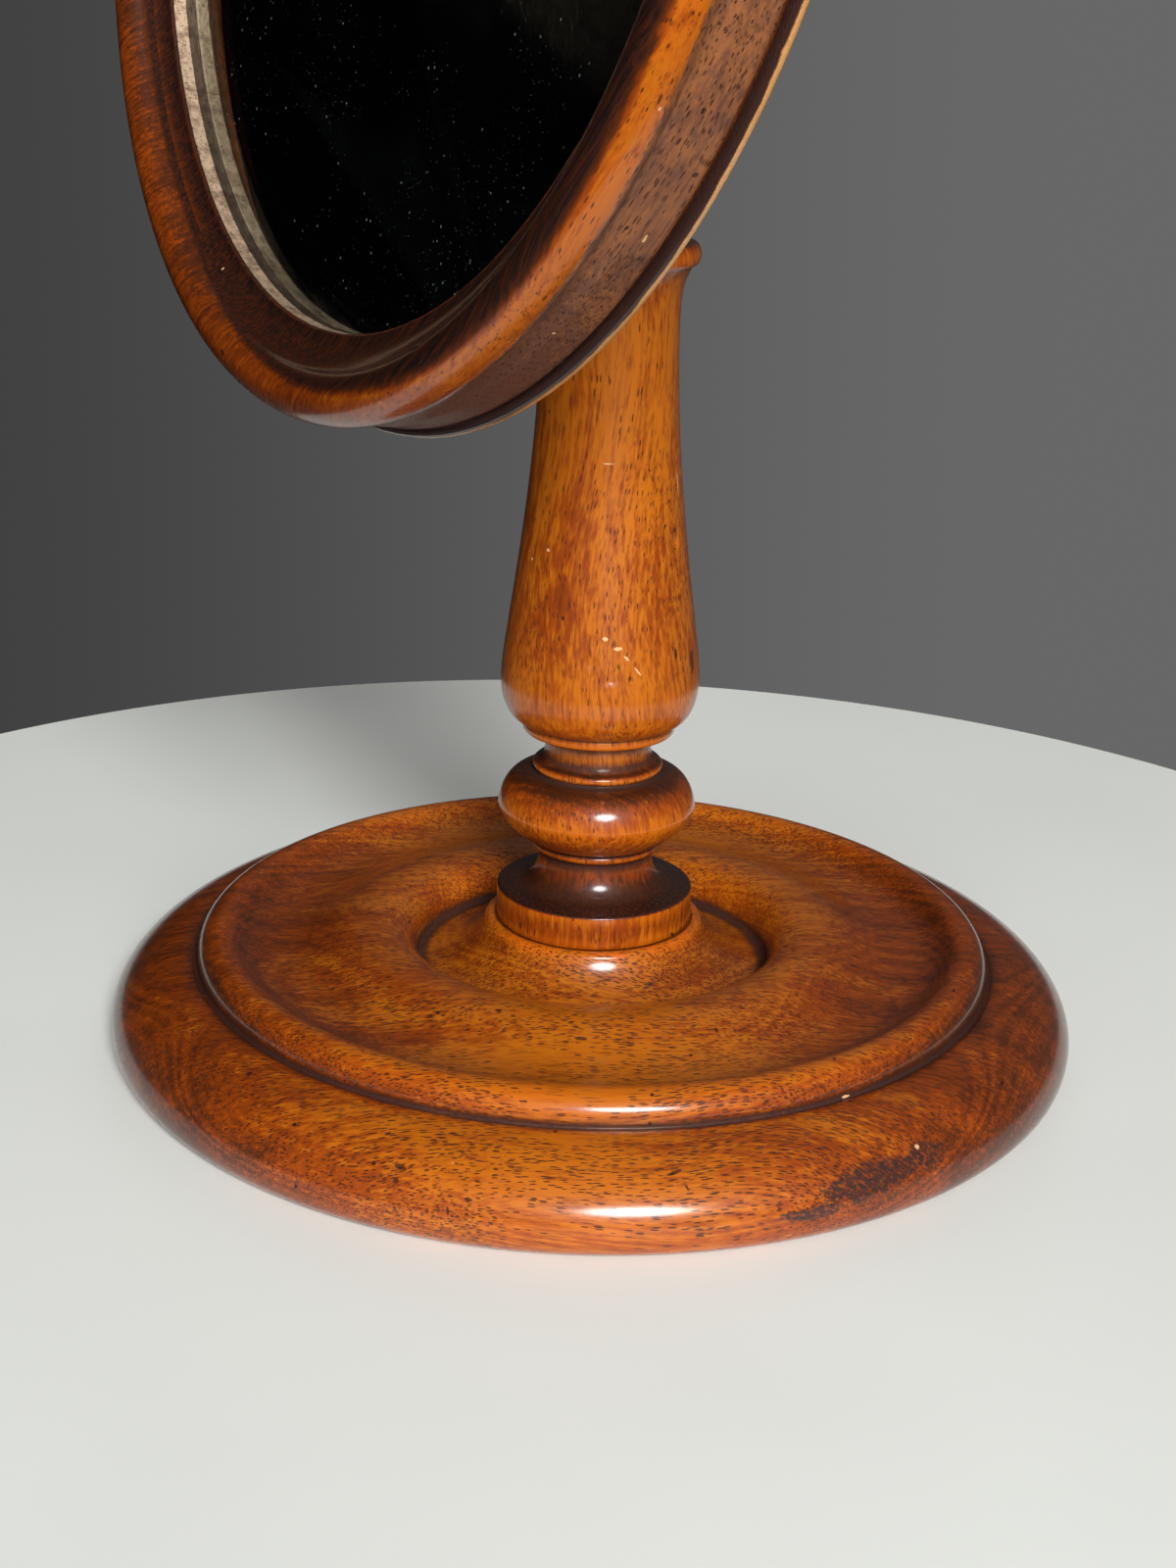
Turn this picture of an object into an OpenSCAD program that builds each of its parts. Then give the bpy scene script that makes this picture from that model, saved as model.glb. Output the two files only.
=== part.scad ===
// Table shaving mirror in turned mahogany, with a round mirror that tilts on
// a brass rod, and a dished round base. Millimetres, +Z up, origin at the
// middle of the foot. The mirror faces -Y and leans back by rest_tilt.

/* [Base] */
// Radius of the base at its widest
base_r = 100; // [96:1:112]
// Height above the table at which the base is widest
edge_z = 5; // [4:0.5:7]
// How far the edge roll draws in underneath
edge_under = 3.7; // [2:0.1:5]
// Width of the outer roll, from its groove to the edge
roll_w = 16.8; // [15:0.2:19]
// Height of the top of the outer roll
roll_z = 17.3; // [15:0.1:19]
// Depth of the groove between the outer roll and the rim bead
groove_d = 0.9; // [0.4:0.1:1.6]
// Radius of the bead round the dish
rim_bead_r = 4.7; // [4:0.1:5.2]
// Height of the crest of the rim bead
rim_z = 22.7; // [21.5:0.1:24]
// Height of the lowest ring of the dish
dish_z = 18.7; // [17:0.1:20]
// Radius of the crown between the dish and the well
crown_r = 46.5; // [44:0.5:50]
// Height of the crown
crown_z = 22.9; // [21.5:0.1:24]
// Radius of the bottom of the well
well_r = 36.3; // [35:0.1:38]
// Height of the bottom of the well
well_z = 14.8; // [13:0.1:16]
// Radius of the small roll round the top of the boss
boss_roll_r = 1.6; // [1:0.1:2.4]
// How far this roll rises above the seat of the column
boss_lip = 0.4; // [0.2:0.1:0.6]
// Depth of the recess for the baize under the base
baize_recess = 1; // [0.8:0.1:2]
// Thickness of the baize
baize_t = 0.8; // [0.5:0.1:0.8]
// Width of the bare wooden rim round the baize
foot_w = 8.3; // [6:0.1:14]

/* [Column] */
// Height of the seat of the column above the table
seat_z = 24.1; // [23.5:0.1:26]
// Radius of the disc at the foot of the column
disc_r = 20.3; // [19:0.1:21]
// Height of the disc
disc_h = 7.3; // [6:0.1:9]
// Height of the cove above the disc
cove_h = 8.4; // [7:0.1:10]
// Radius of the neck under the bulb
low_neck_r = 11.7; // [11:0.1:12.2]
// Radius of the rings under and over the bulb
ring_r = 13.3; // [12.8:0.1:14]
// Height of each of these rings
ring_h = 1.9; // [1.2:0.1:2.4]
// Height of the bulb
bulb_h = 15; // [13:0.1:18]
// Radius of the bulb at its widest
bulb_r = 20.3; // [18:0.1:22]
// Share of the height of the bulb that lies below its widest ring
bulb_low = 0.5; // [0.4:0.02:0.6]
// Height of the neck between the upper ring and the vase
neck_h = 6.4; // [5.5:0.1:8]
// Radius of the neck under the vase
neck_r = 10.8; // [10:0.1:12]
// Radius of the fillet under the vase
vase_foot_r = 15.4; // [14:0.1:16.5]
// Height of this fillet
vase_foot_h = 1.9; // [1:0.1:3]
// Height from the lower edge of the fillet to the widest ring of the vase
shoulder_h = 11.2; // [9:0.1:14]
// Radius of the vase at its widest
vase_r = 20.1; // [18:0.1:22]
// Height from the widest ring of the vase to its waist
taper_h = 72; // [68:0.5:80]
// Radius of the waist
waist_r = 13.4; // [12.5:0.1:14.5]
// Height of the flare between the waist and the collar bead
flare_h = 10.2; // [8:0.1:12]
// Radius of the flare under the collar bead
flare_r = 15.6; // [15:0.1:16.5]
// Height of the collar bead
collar_h = 4.6; // [4:0.1:6]
// How far the collar bead swells past the flare
collar_swell = 1.4; // [0.8:0.1:2]
// Radius of the tenon that goes down through the base
tenon_r = 9.5; // [8:0.1:10.5]

/* [Rod and bush] */
// Radius of the brass rod
rod_r = 6; // [5.5:0.1:6.5]
// Length of the rod
rod_len = 147; // [140:0.5:152]
// Wall of the brass bush
bush_wall = 1.5; // [1.2:0.1:2]
// Length of the bush inside the column
bush_len = 34; // [30:0.5:38]
// Radius of the flange on the bush
bush_flange_r = 11; // [10:0.1:13]
// Thickness of the flange on the bush
bush_flange_t = 1.6; // [1:0.1:2.5]
// Radius of the leather guide at the lower end of the rod
guide_r = 6.3; // [5.9:0.05:6.5]
// Height of the leather guide
guide_h = 8; // [5:0.5:10]
// Radius of the spigot that carries the guide
spigot_r = 4; // [3.2:0.1:4.6]
// Play between the leather guide and the bore of the column
guide_play = 0.3; // [0.2:0.05:0.4]

/* [Height lock] */
// Height of the lock screw below the top of the column
lock_drop = 13; // [11:0.5:18]
// Radius of the shank of the lock screw
lock_r = 2.5; // [2:0.1:3]
// Radius of the knurled head of the lock screw
lock_head_r = 6.5; // [5:0.1:7]
// Thickness of the knurled head
lock_head_t = 6; // [4:0.1:6.4]
// Flutes round the knurled head
lock_flutes = 18; // [12:1:24]
// Wall of the threaded insert in the column
insert_wall = 1.4; // [1:0.1:2]
// Thickness of the leather pad at the tip of the lock screw
pad_t = 1.5; // [1:0.1:1.8]
// Gap between the column and the knurled head when it is tight
lock_gap = 2; // [1.2:0.1:2.4]

/* [Hinge] */
// Height of the hinge axis above the table
hinge_z = 243.5; // [240:0.5:250]
// Radius of the fork head
head_r = 9.5; // [9:0.1:11]
// Length of the barrel of the fork head below its slot
barrel_h = 20; // [16:0.5:22]
// Radius of the ends of the fork cheeks
cheek_r = 8.5; // [7.5:0.1:9]
// Thickness of one fork cheek
cheek_t = 4; // [3.5:0.1:4.2]
// Thickness of the tongue on the back plate
tongue_t = 7.5; // [6:0.1:8]
// Radius of the end of the tongue
tongue_r = 8; // [7:0.1:8.4]
// Gap between the end of the tongue and the floor of the slot
slot_gap = 1.5; // [1:0.1:3]
// Thickness of a fibre washer in the fork
fibre_t = 0.6; // [0.4:0.1:1]
// Radius of the pivot bolt
pivot_r = 3; // [2.5:0.1:3.5]
// Radius of the domed head of the pivot bolt
pivot_head_r = 6.5; // [5.5:0.1:7.5]
// Thickness of the head of the pivot bolt
pivot_head_t = 3.2; // [2.5:0.1:4]
// Thickness of the washer under the wing nut
nut_washer_t = 1; // [0.8:0.1:1.6]
// Radius of the hub of the wing nut
nut_r = 5.2; // [4.6:0.1:6]
// Height of the hub of the wing nut
nut_h = 6; // [5:0.1:8]
// Reach of each wing from the axis
wing_reach = 13; // [11:0.5:15]
// Thickness of each wing
wing_t = 2; // [1.6:0.1:2.6]
// Radius of the cross pin through the fork head and the rod
cross_pin_r = 1.5; // [1:0.1:2]

/* [Mirror] */
// Lean of the mirror at rest, in degrees, with its top to the back
rest_tilt = 8.86; // [5:0.1:12]
// Distance from the hinge axis to the middle of the front roll
roll_reach = 47.9; // [47:0.1:52]
// Radius of the opening that shows the glass
sight_r = 102.7; // [96:0.1:110]
// Width of the frame from the sight edge to the middle of the front roll
sight_to_roll = 11.4; // [10:0.1:14]
// Radius of the front roll in section
front_roll_r = 5; // [4.4:0.1:5.4]
// How far the sight edge lies behind the middle of the roll
sight_back = 1.9; // [1.2:0.1:3]
// Thickness of the wooden lip at the sight edge
lip_t = 0.8; // [0.6:0.1:1.4]
// Thickness of the silvered slip inside the sight edge
slip_t = 1.15; // [0.8:0.05:1.6]
// Depth of the silvered slip
slip_h = 2.7; // [2:0.1:4]
// Thickness of the glass
glass_t = 3.5; // [3:0.1:4.5]
// Overlap of the glass past the slip
glass_over = 2.6; // [2:0.1:3]
// Thickness of the silvering on the back of the glass
silver_t = 0.12; // [0.1:0.01:0.2]
// Thickness of the card behind the silvering
card_t = 0.5; // [0.4:0.1:1]
// Depth of the blocks that hold the glass
block_h = 4.9; // [4:0.1:6]
// Number of blocks round the glass
block_count = 8; // [6:1:12]
// Set-back of the side wall from the outside of the front roll
side_set = 0.9; // [0.5:0.1:1.5]
// Radius of the outer edge of the back board past the side wall
board_over = 1.4; // [0.8:0.1:2]
// Thickness of the back board at its edge
board_edge_t = 2.1; // [1.6:0.1:3]
// Thickness of the back board in its middle
board_t = 5.5; // [5:0.1:6.2]
// Width of the rounded border of the back board
board_border = 13; // [10:0.5:18]
// Number of screws that hold the back board
board_screws_n = 8; // [6:1:12]
// Radius of the round back plate of the hinge
plate_r = 22; // [20:0.5:26]
// Thickness of the back plate
plate_t = 2.5; // [2.2:0.1:3]
// Radius of the circle of the back plate's screws
plate_screw_at = 16; // [15.5:0.1:17]

/* [Hidden] */
$fn = 64;

// Clearances that the pieces share
fit = 0.05;
seat_gap = 0.1;
cut = 1;

// Turned steps on the column, from the seat upward
disc_top = seat_z + disc_h;
ring_z = disc_top + cove_h;
bulb_z = ring_z + ring_h;
bulb_top = bulb_z + bulb_h;
neck_z = bulb_top + ring_h;
vase_z = neck_z + neck_h;
vase_foot_z = vase_z + vase_foot_h;
shoulder_z = vase_z + shoulder_h;
waist_z = shoulder_z + taper_h;
collar_z = waist_z + flare_h;
column_top = collar_z + collar_h;
tenon_low = 1.5 + baize_recess;
wedge_h = 14;
wedge_wide = 2.4;
wedge_thin = 0.6;

// Rod, bush and guide
bush_bore = rod_r + fit;
bush_r = bush_bore + bush_wall;
bush_low = column_top - bush_len;
bush_top = column_top + bush_flange_t;
bore_r = guide_r + guide_play;
head_low = hinge_z - tongue_r - slot_gap - barrel_h;
socket_deep = barrel_h - 3;
rod_top = head_low + socket_deep - seat_gap;
rod_low = rod_top - rod_len;
guide_screw_r = 1.6;
guide_head_h = 2.4;
travel_down = head_low - bush_top - 4;
bore_low = rod_low - guide_head_h - travel_down - 1.4;

// Height lock, on the -X side of the column
lock_z = column_top - lock_drop;
insert_r = lock_r + fit + insert_wall;
insert_out = waist_r + 0.8;
pad_x = rod_r + seat_gap;
lock_tip = pad_x + pad_t + fit;
lock_head_x = insert_out + lock_gap;

// Fork, tongue and pivot, measured along X from the middle
slot_half = tongue_t / 2 + fibre_t + 3 * seat_gap;
fork_half = slot_half + cheek_t;
slot_floor = hinge_z - tongue_r - slot_gap;
nut_washer_x = fork_half + fit;
nut_x = nut_washer_x + nut_washer_t + fit;
bolt_end = nut_x + nut_h + 1.5;

// Levels in the mirror, measured forward from the hinge axis
sight_h = roll_reach - sight_back;
slip_front = sight_h - lip_t;
glass_front = slip_front - slip_h;
glass_back = glass_front - glass_t;
card_front = glass_back - silver_t;
block_front = card_front - card_t;
frame_back = block_front - block_h - seat_gap;
board_back = frame_back - board_t;
plate_back = board_back - plate_t;
slip_r = sight_r + slip_t;
glass_r = slip_r + glass_over;
rebate_r = glass_r + 0.5;
front_roll_at = sight_r + sight_to_roll;
side_r = front_roll_at + front_roll_r - side_set;
board_r = side_r + board_over;
screw_at = (rebate_r + side_r) / 2;

// Points on a cubic curve, after its first point
function bend(a, b, c, d, n = 8) =
    [for (i = [1:n]) let (t = i / n, s = 1 - t)
        s * s * s * a + 3 * s * s * t * b + 3 * s * t * t * c + t * t * t * d];

// Points on a circular arc, both ends included
function arc(c, r, from, to, n = 8) =
    [for (i = [0:n]) let (a = from + (to - from) * i / n)
        c + r * [cos(a), sin(a)]];

// Section of the base as radius and height, from the tenon hole outward
function base_outline() =
    let (
        hole = tenon_r + fit,
        groove_r = base_r - roll_w - 0.9,
        bead = [groove_r - rim_bead_r - 0.1, rim_z - rim_bead_r],
        lip = [disc_r + 0.4 + boss_roll_r * cos(72), seat_z + boss_lip - boss_roll_r],
        lip_in = lip + boss_roll_r * [cos(108), sin(108)],
        boss_side = lip + boss_roll_r * [cos(20), sin(20)],
        low_r = (crown_r + bead[0] + 2) / 2 + 3,
        crown = [crown_r, crown_z],
        low = [low_r, dish_z],
        rim_in = bead + rim_bead_r * [cos(128), sin(128)],
        foot_r = base_r - edge_under)
    concat(
        [[hole, baize_recess], [hole, seat_z], [lip_in[0], seat_z]],
        arc(lip, boss_roll_r, 108, 20, 7),
        bend(boss_side, boss_side + [0.9, -2.6], [well_r - 9.5, well_z + 1.2],
            [well_r - 0.8, well_z], 12),
        [[well_r, well_z], [well_r + 0.6, well_z + 0.9]],
        bend([well_r + 0.6, well_z + 0.9], [well_r + 0.7, crown_z - 2.4],
            [crown_r - 6.4, crown_z], crown, 9),
        bend(crown, crown + [7.5, 0], low - [9, 0], low, 10),
        bend(low, low + [5.5, 0], rim_in - [1.7, 1.4], rim_in, 7),
        arc(bead, rim_bead_r, 122, -8, 9),
        [[groove_r, roll_z - groove_d]],
        [[groove_r + 0.9, roll_z - 0.2]],
        bend([groove_r + 0.9, roll_z - 0.2], [groove_r + 8.4, roll_z + 0.1],
            [base_r, edge_z + 7], [base_r, edge_z], 12),
        bend([base_r, edge_z], [base_r, edge_z * 0.42],
            [foot_r + 2.1, 0.3], [foot_r, 0], 6),
        [[foot_r - foot_w, 0], [foot_r - foot_w, baize_recess]]);

// Section of the column as radius and height, tenon included
function column_outline() =
    let (bulb_side = [bulb_r, bulb_z + bulb_h * bulb_low])
    concat(
        [[0, tenon_low], [tenon_r, tenon_low], [tenon_r, seat_z]],
        [[disc_r - 0.5, seat_z], [disc_r, seat_z + 0.5]],
        [[disc_r, disc_top - 0.7]],
        bend([disc_r, disc_top - 0.7], [disc_r, disc_top - 0.1],
            [disc_r - 0.4, disc_top], [disc_r - 1.2, disc_top + 0.1], 4),
        [[disc_r - 4.4, disc_top + 0.5]],
        bend([disc_r - 4.4, disc_top + 0.5], [low_neck_r + 1.9, disc_top + 0.8],
            [low_neck_r, disc_top + 3.4], [low_neck_r, ring_z - 1.4], 8),
        [[low_neck_r, ring_z - 0.4]],
        arc([ring_r - ring_h / 2, ring_z + ring_h / 2], ring_h / 2, -75, 70, 6),
        bend([ring_r - 0.4, bulb_z], [ring_r + 2.4, bulb_z + 0.8],
            bulb_side - [0.4, 3.4], bulb_side, 8),
        bend(bulb_side, bulb_side + [-0.3, 2.7], [bulb_r - 1.6, bulb_top - 1.9],
            [ring_r + 2.9, bulb_top - 1], 8),
        [[ring_r - 0.5, bulb_top - 0.1]],
        arc([ring_r - ring_h / 2, bulb_top + ring_h / 2], ring_h / 2, -60, 75, 6),
        bend([ring_r - 0.9, neck_z], [neck_r + 0.7, neck_z + 0.1],
            [neck_r + 0.2, neck_z + 1], [neck_r, neck_z + 2.8], 6),
        [[neck_r, vase_z - 0.8], [neck_r + 0.6, vase_z]],
        [[vase_foot_r - 0.3, vase_z], [vase_foot_r, vase_z + 0.3]],
        [[vase_foot_r, vase_foot_z - 0.3], [vase_foot_r - 0.4, vase_foot_z + 0.2]],
        bend([vase_foot_r + 0.6, vase_foot_z + 0.3], [vase_r - 1.5, vase_foot_z + 1.3],
            [vase_r, vase_foot_z + 4.6], [vase_r, shoulder_z], 8),
        bend([vase_r, shoulder_z], [vase_r, shoulder_z + taper_h * 0.11],
            [waist_r, waist_z - taper_h * 0.47], [waist_r, waist_z], 16),
        bend([waist_r, waist_z], [waist_r, waist_z + 6.5],
            [flare_r - 1, collar_z - 1.6], [flare_r, collar_z], 7),
        bend([flare_r, collar_z], [flare_r + collar_swell * 1.35, collar_z],
            [flare_r + collar_swell * 1.35, column_top - 0.2],
            [flare_r - 0.4, column_top], 9),
        [[0, column_top]]);

// Turned piece from a section given as radius and height
module turned(section) {
    rotate_extrude($fn = 96) polygon(section);
}

// Cylinder along -X, from x = -a to x = -b
module spoke(r, a, b) {
    translate([-a, 0, 0]) rotate([0, -90, 0]) cylinder(r = r, h = b - a);
}

// Cylinder along X, from a to b
module axle(r, a, b) {
    translate([a, 0, 0]) rotate([0, 90, 0]) cylinder(r = r, h = b - a);
}

// Ring between two radii and two heights
module ring(out_r, in_r, low, high) {
    difference() {
        translate([0, 0, low]) cylinder(r = out_r, h = high - low);
        translate([0, 0, low - cut]) cylinder(r = in_r, h = high - low + 2 * cut);
    }
}

// Countersunk wood screw with its head up at z = 0
module wood_screw(head_r, shank_r, head_h, length) {
    slot_w = head_r * 0.25;
    difference() {
        union() {
            translate([0, 0, -head_h])
                cylinder(r1 = shank_r, r2 = head_r, h = head_h);
            translate([0, 0, -length + shank_r])
                cylinder(r = shank_r, h = length - shank_r - head_h);
            translate([0, 0, -length])
                cylinder(r1 = shank_r * 0.3, r2 = shank_r, h = shank_r);
        }
        translate([-head_r - cut, -slot_w / 2, -head_h * 0.35])
            cube([2 * (head_r + cut), slot_w, head_h]);
    }
}

// Space that such a screw takes
module screw_space(head_r, shank_r, head_h, length) {
    translate([0, 0, -head_h])
        cylinder(r1 = shank_r + fit, r2 = head_r + fit, h = head_h + fit);
    translate([0, 0, -length - fit]) cylinder(r = shank_r + fit, h = length);
}

// Puts what is drawn about the hinge axis, facing up, onto the leaning mirror
module on_mirror() {
    translate([0, 0, hinge_z]) rotate([90 - rest_tilt, 0, 0]) children();
}

// Copies round the mirror's axis, facing back
module round_back(n, at, level, turn = 0) {
    for (i = [0:n - 1])
        rotate([0, 0, turn + 360 * i / n]) translate([at, 0, level])
            rotate([180, 0, 0]) children();
}

board_screw = [2.6, 1.3, 1.8, 11];
plate_screw = [3, 1.5, 2, 6];

module base() {
    color("sienna") turned(base_outline());
}

module baize_pad() {
    color("darkgreen")
        ring(base_r - edge_under - foot_w - 0.3, tenon_r + 3,
            baize_recess - baize_t, baize_recess);
}

// Tapered slot across the foot of the tenon, also the wedge that fills it
module wedge_shape(slack) {
    rotate([90, 0, 0]) translate([0, 0, -tenon_r - 2 * cut])
        linear_extrude(height = 2 * tenon_r + 4 * cut)
            polygon([[-wedge_wide / 2 - slack, tenon_low - slack],
                [wedge_wide / 2 + slack, tenon_low - slack],
                [wedge_thin / 2 + slack, tenon_low + wedge_h + slack],
                [-wedge_thin / 2 - slack, tenon_low + wedge_h + slack]]);
}

module column() {
    color("peru") difference() {
        turned(column_outline());
        translate([0, 0, bore_low]) cylinder(r = bore_r, h = column_top);
        translate([0, 0, bush_low]) cylinder(r = bush_r + fit, h = bush_len + cut);
        translate([0, 0, lock_z]) spoke(insert_r + fit, 0, waist_r + 4);
        wedge_shape(fit);
    }
}

module tenon_wedge() {
    color("burlywood") intersection() {
        wedge_shape(0);
        cylinder(r = tenon_r, h = seat_z);
    }
}

module collar_bush() {
    color("goldenrod") difference() {
        union() {
            translate([0, 0, bush_low])
                cylinder(r = bush_r, h = bush_len + bush_flange_t / 2);
            turned([[0, column_top], [bush_flange_r, column_top],
                [bush_flange_r, column_top + bush_flange_t * 0.5],
                [bush_flange_r - 0.6, bush_top], [0, bush_top]]);
        }
        translate([0, 0, bush_low - cut])
            cylinder(r = bush_bore, h = bush_len + bush_flange_t + 2 * cut);
        translate([0, 0, lock_z]) spoke(lock_r + 0.2, 0, bush_r + cut);
    }
}

module lock_insert() {
    color("goldenrod") translate([0, 0, lock_z]) difference() {
        spoke(insert_r, bush_r + fit, insert_out);
        spoke(lock_r + fit, 0, insert_out + cut);
    }
}

module lock_pad() {
    color("saddlebrown") translate([0, 0, lock_z])
        spoke(lock_r - 0.1, pad_x, pad_x + pad_t);
}

module lock_screw() {
    color("gold") translate([0, 0, lock_z]) difference() {
        union() {
            spoke(lock_r, lock_tip, lock_head_x);
            spoke(lock_head_r * 0.6, lock_head_x - 0.6, lock_head_x);
            translate([-lock_head_x, 0, 0]) rotate([0, -90, 0])
                turned([[0, 0], [lock_head_r - 0.7, 0], [lock_head_r, 0.7],
                    [lock_head_r, lock_head_t - 0.9],
                    [lock_head_r - 0.9, lock_head_t], [0, lock_head_t]]);
        }
        for (i = [0:lock_flutes - 1])
            rotate([360 * i / lock_flutes, 0, 0])
                translate([0, lock_head_r + 0.35, 0])
                    spoke(0.7, lock_head_x - cut, lock_head_x + lock_head_t + cut);
    }
}

module rod() {
    color("gold") difference() {
        union() {
            translate([0, 0, rod_low + guide_h + seat_gap])
                cylinder(r = rod_r, h = rod_len - guide_h - seat_gap);
            translate([0, 0, rod_low])
                cylinder(r = spigot_r, h = guide_h + seat_gap + cut);
        }
        translate([0, 0, rod_low - cut])
            cylinder(r = guide_screw_r + fit, h = cut + guide_h + 4);
        translate([0, 0, head_low + barrel_h * 0.45]) rotate([0, 0, 90])
            axle(cross_pin_r + fit, -head_r, head_r);
    }
}

module rod_guide() {
    color("saddlebrown")
        ring(guide_r, spigot_r + fit, rod_low + seat_gap, rod_low + guide_h);
}

module guide_screw() {
    color("silver") translate([0, 0, rod_low]) difference() {
        union() {
            translate([0, 0, -guide_head_h])
                cylinder(r1 = spigot_r * 0.8, r2 = (spigot_r + guide_r) / 2,
                    h = guide_head_h);
            cylinder(r = guide_screw_r, h = guide_h + 3);
        }
        translate([-guide_r, -0.5, -guide_head_h - cut])
            cube([2 * guide_r, 1, cut + guide_head_h * 0.4]);
    }
}

module fork_head() {
    color("gold") difference() {
        union() {
            turned([[0, head_low], [head_r - 1.2, head_low],
                [head_r, head_low + 1.2], [head_r, head_low + 2.4],
                [head_r - 1.2, head_low + 3.6], [head_r - 1.2, slot_floor - 3],
                [head_r, slot_floor - 1.8], [head_r, slot_floor],
                [0, slot_floor]]);
            intersection() {
                union() {
                    translate([0, 0, hinge_z]) axle(cheek_r, -fork_half, fork_half);
                    translate([-fork_half, -cheek_r, slot_floor - 1])
                        cube([2 * fork_half, 2 * cheek_r, hinge_z - slot_floor + 1]);
                }
                translate([0, 0, slot_floor - 1])
                    cylinder(r = fork_half * 1.12, h = 2 * cheek_r + slot_gap + 4);
            }
        }
        translate([-slot_half, -head_r - cut, slot_floor])
            cube([2 * slot_half, 2 * (head_r + cut), 2 * tongue_r + slot_gap + 10]);
        translate([0, 0, hinge_z])
            axle(pivot_r + fit, -fork_half - cut, fork_half + cut);
        translate([0, 0, head_low - cut]) cylinder(r = rod_r + fit, h = socket_deep + cut);
        translate([0, 0, head_low + barrel_h * 0.45]) rotate([0, 0, 90])
            axle(cross_pin_r + fit, -head_r - cut, head_r + cut);
    }
}

module cross_pin() {
    color("silver") translate([0, 0, head_low + barrel_h * 0.45])
        rotate([0, 0, 90]) axle(cross_pin_r, -head_r + 0.9, head_r - 0.9);
}

module pivot_bolt() {
    color("gold") translate([0, 0, hinge_z]) difference() {
        union() {
            axle(pivot_r, -fork_half - 0.5, bolt_end);
            translate([-fork_half - fit, 0, 0]) rotate([0, -90, 0])
                turned(concat([[0, 0], [pivot_head_r, 0]],
                    bend([pivot_head_r, 0], [pivot_head_r, pivot_head_t * 0.6],
                        [pivot_head_r * 0.6, pivot_head_t], [0, pivot_head_t], 8)));
        }
        translate([-fork_half - pivot_head_t - cut, -pivot_head_r - cut, -0.6])
            cube([cut + pivot_head_t * 0.45, 2 * (pivot_head_r + cut), 1.2]);
    }
}

module fibre_washers() {
    color("dimgray") translate([0, 0, hinge_z]) for (side = [-1, 1])
        translate([side * (slot_half - seat_gap - fibre_t / 2), 0, 0])
            rotate([0, 90, 0])
                ring(tongue_r - 0.6, pivot_r + fit, -fibre_t / 2, fibre_t / 2);
}

module nut_washer() {
    color("silver") translate([nut_washer_x, 0, hinge_z]) rotate([0, 90, 0])
        ring(nut_r + 1.6, pivot_r + fit, 0, nut_washer_t);
}

// One wing of the nut, seen along the pivot, as an outline
function wing_outline() =
    concat([[0, 0.6], [nut_r - 1, 0.6]],
        bend([nut_r - 1, 0.6], [nut_r + 2, 0.6], [wing_reach - 4, 3],
            [wing_reach - 1.6, 4.4], 5),
        arc([wing_reach - 2.6, nut_h + 1], 2.6, -40, 140, 8),
        bend([wing_reach - 4.6, nut_h + 2.67], [wing_reach - 6, nut_h + 0.6],
            [nut_r - 0.4, nut_h - 0.6], [nut_r - 1.2, nut_h - 0.8], 5),
        [[0, nut_h - 0.8]]);

module wing_nut() {
    color("gold") translate([nut_x, 0, hinge_z]) rotate([0, 90, 0]) difference() {
        union() {
            cylinder(r1 = nut_r, r2 = nut_r - 1, h = nut_h);
            for (turn = [0, 180])
                rotate([90, 0, turn]) translate([0, 0, -wing_t / 2])
                    linear_extrude(height = wing_t) polygon(wing_outline());
        }
        translate([0, 0, -cut]) cylinder(r = pivot_r + fit, h = 2 * nut_h + 2 * cut);
    }
}

module hinge_plate() {
    color("goldenrod") on_mirror() difference() {
        union() {
            turned([[0, plate_back], [plate_r - 0.8, plate_back],
                [plate_r, plate_back + 0.8], [plate_r, board_back],
                [0, board_back]]);
            translate([0, 0, plate_back - 3])
                cylinder(r1 = tongue_r + 0.5, r2 = tongue_r + 2.8, h = 3 + fit);
            axle(tongue_r, -tongue_t / 2, tongue_t / 2);
            translate([-tongue_t / 2, -tongue_r, 0])
                cube([tongue_t, 2 * tongue_r, plate_back]);
        }
        axle(pivot_r + fit, -tongue_t, tongue_t);
        round_back(4, plate_screw_at, plate_back, 45)
            screw_space(plate_screw[0], plate_screw[1], plate_screw[2], plate_screw[3]);
    }
}

module plate_screws() {
    color("silver") on_mirror() round_back(4, plate_screw_at, plate_back, 45)
        wood_screw(plate_screw[0], plate_screw[1], plate_screw[2], plate_screw[3]);
}

// Back level of the board at the circle of its screws
board_screw_h = frame_back - board_edge_t
    - (board_t - board_edge_t) * min(1, (board_r - screw_at) / board_border * 1.1);

module back_board() {
    edge_low = frame_back - board_edge_t;
    color("saddlebrown") on_mirror() difference() {
        turned(concat([[0, frame_back], [board_r - 1.6, frame_back]],
            bend([board_r - 1.6, frame_back], [board_r - 0.5, frame_back],
                [board_r, frame_back - 0.4], [board_r, frame_back - 1.1], 4),
            bend([board_r, frame_back - 1.1], [board_r, edge_low + 0.3],
                [board_r - 0.6, edge_low], [board_r - 1.2, edge_low - 0.1], 4),
            bend([board_r - 1.2, edge_low - 0.1],
                [board_r - board_border * 0.45, edge_low - 0.5],
                [board_r - board_border * 0.6, board_back],
                [board_r - board_border, board_back], 8),
            [[0, board_back]]));
        round_back(4, plate_screw_at, plate_back, 45)
            screw_space(plate_screw[0], plate_screw[1], plate_screw[2], plate_screw[3]);
        round_back(board_screws_n, screw_at, board_screw_h)
            screw_space(board_screw[0], board_screw[1], board_screw[2], board_screw[3]);
        round_back(board_screws_n, screw_at, board_screw_h)
            cylinder(r = board_screw[0] + fit, h = board_t);
    }
}

module board_screws() {
    color("silver") on_mirror() round_back(board_screws_n, screw_at, board_screw_h)
        wood_screw(board_screw[0], board_screw[1], board_screw[2], board_screw[3]);
}

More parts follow.
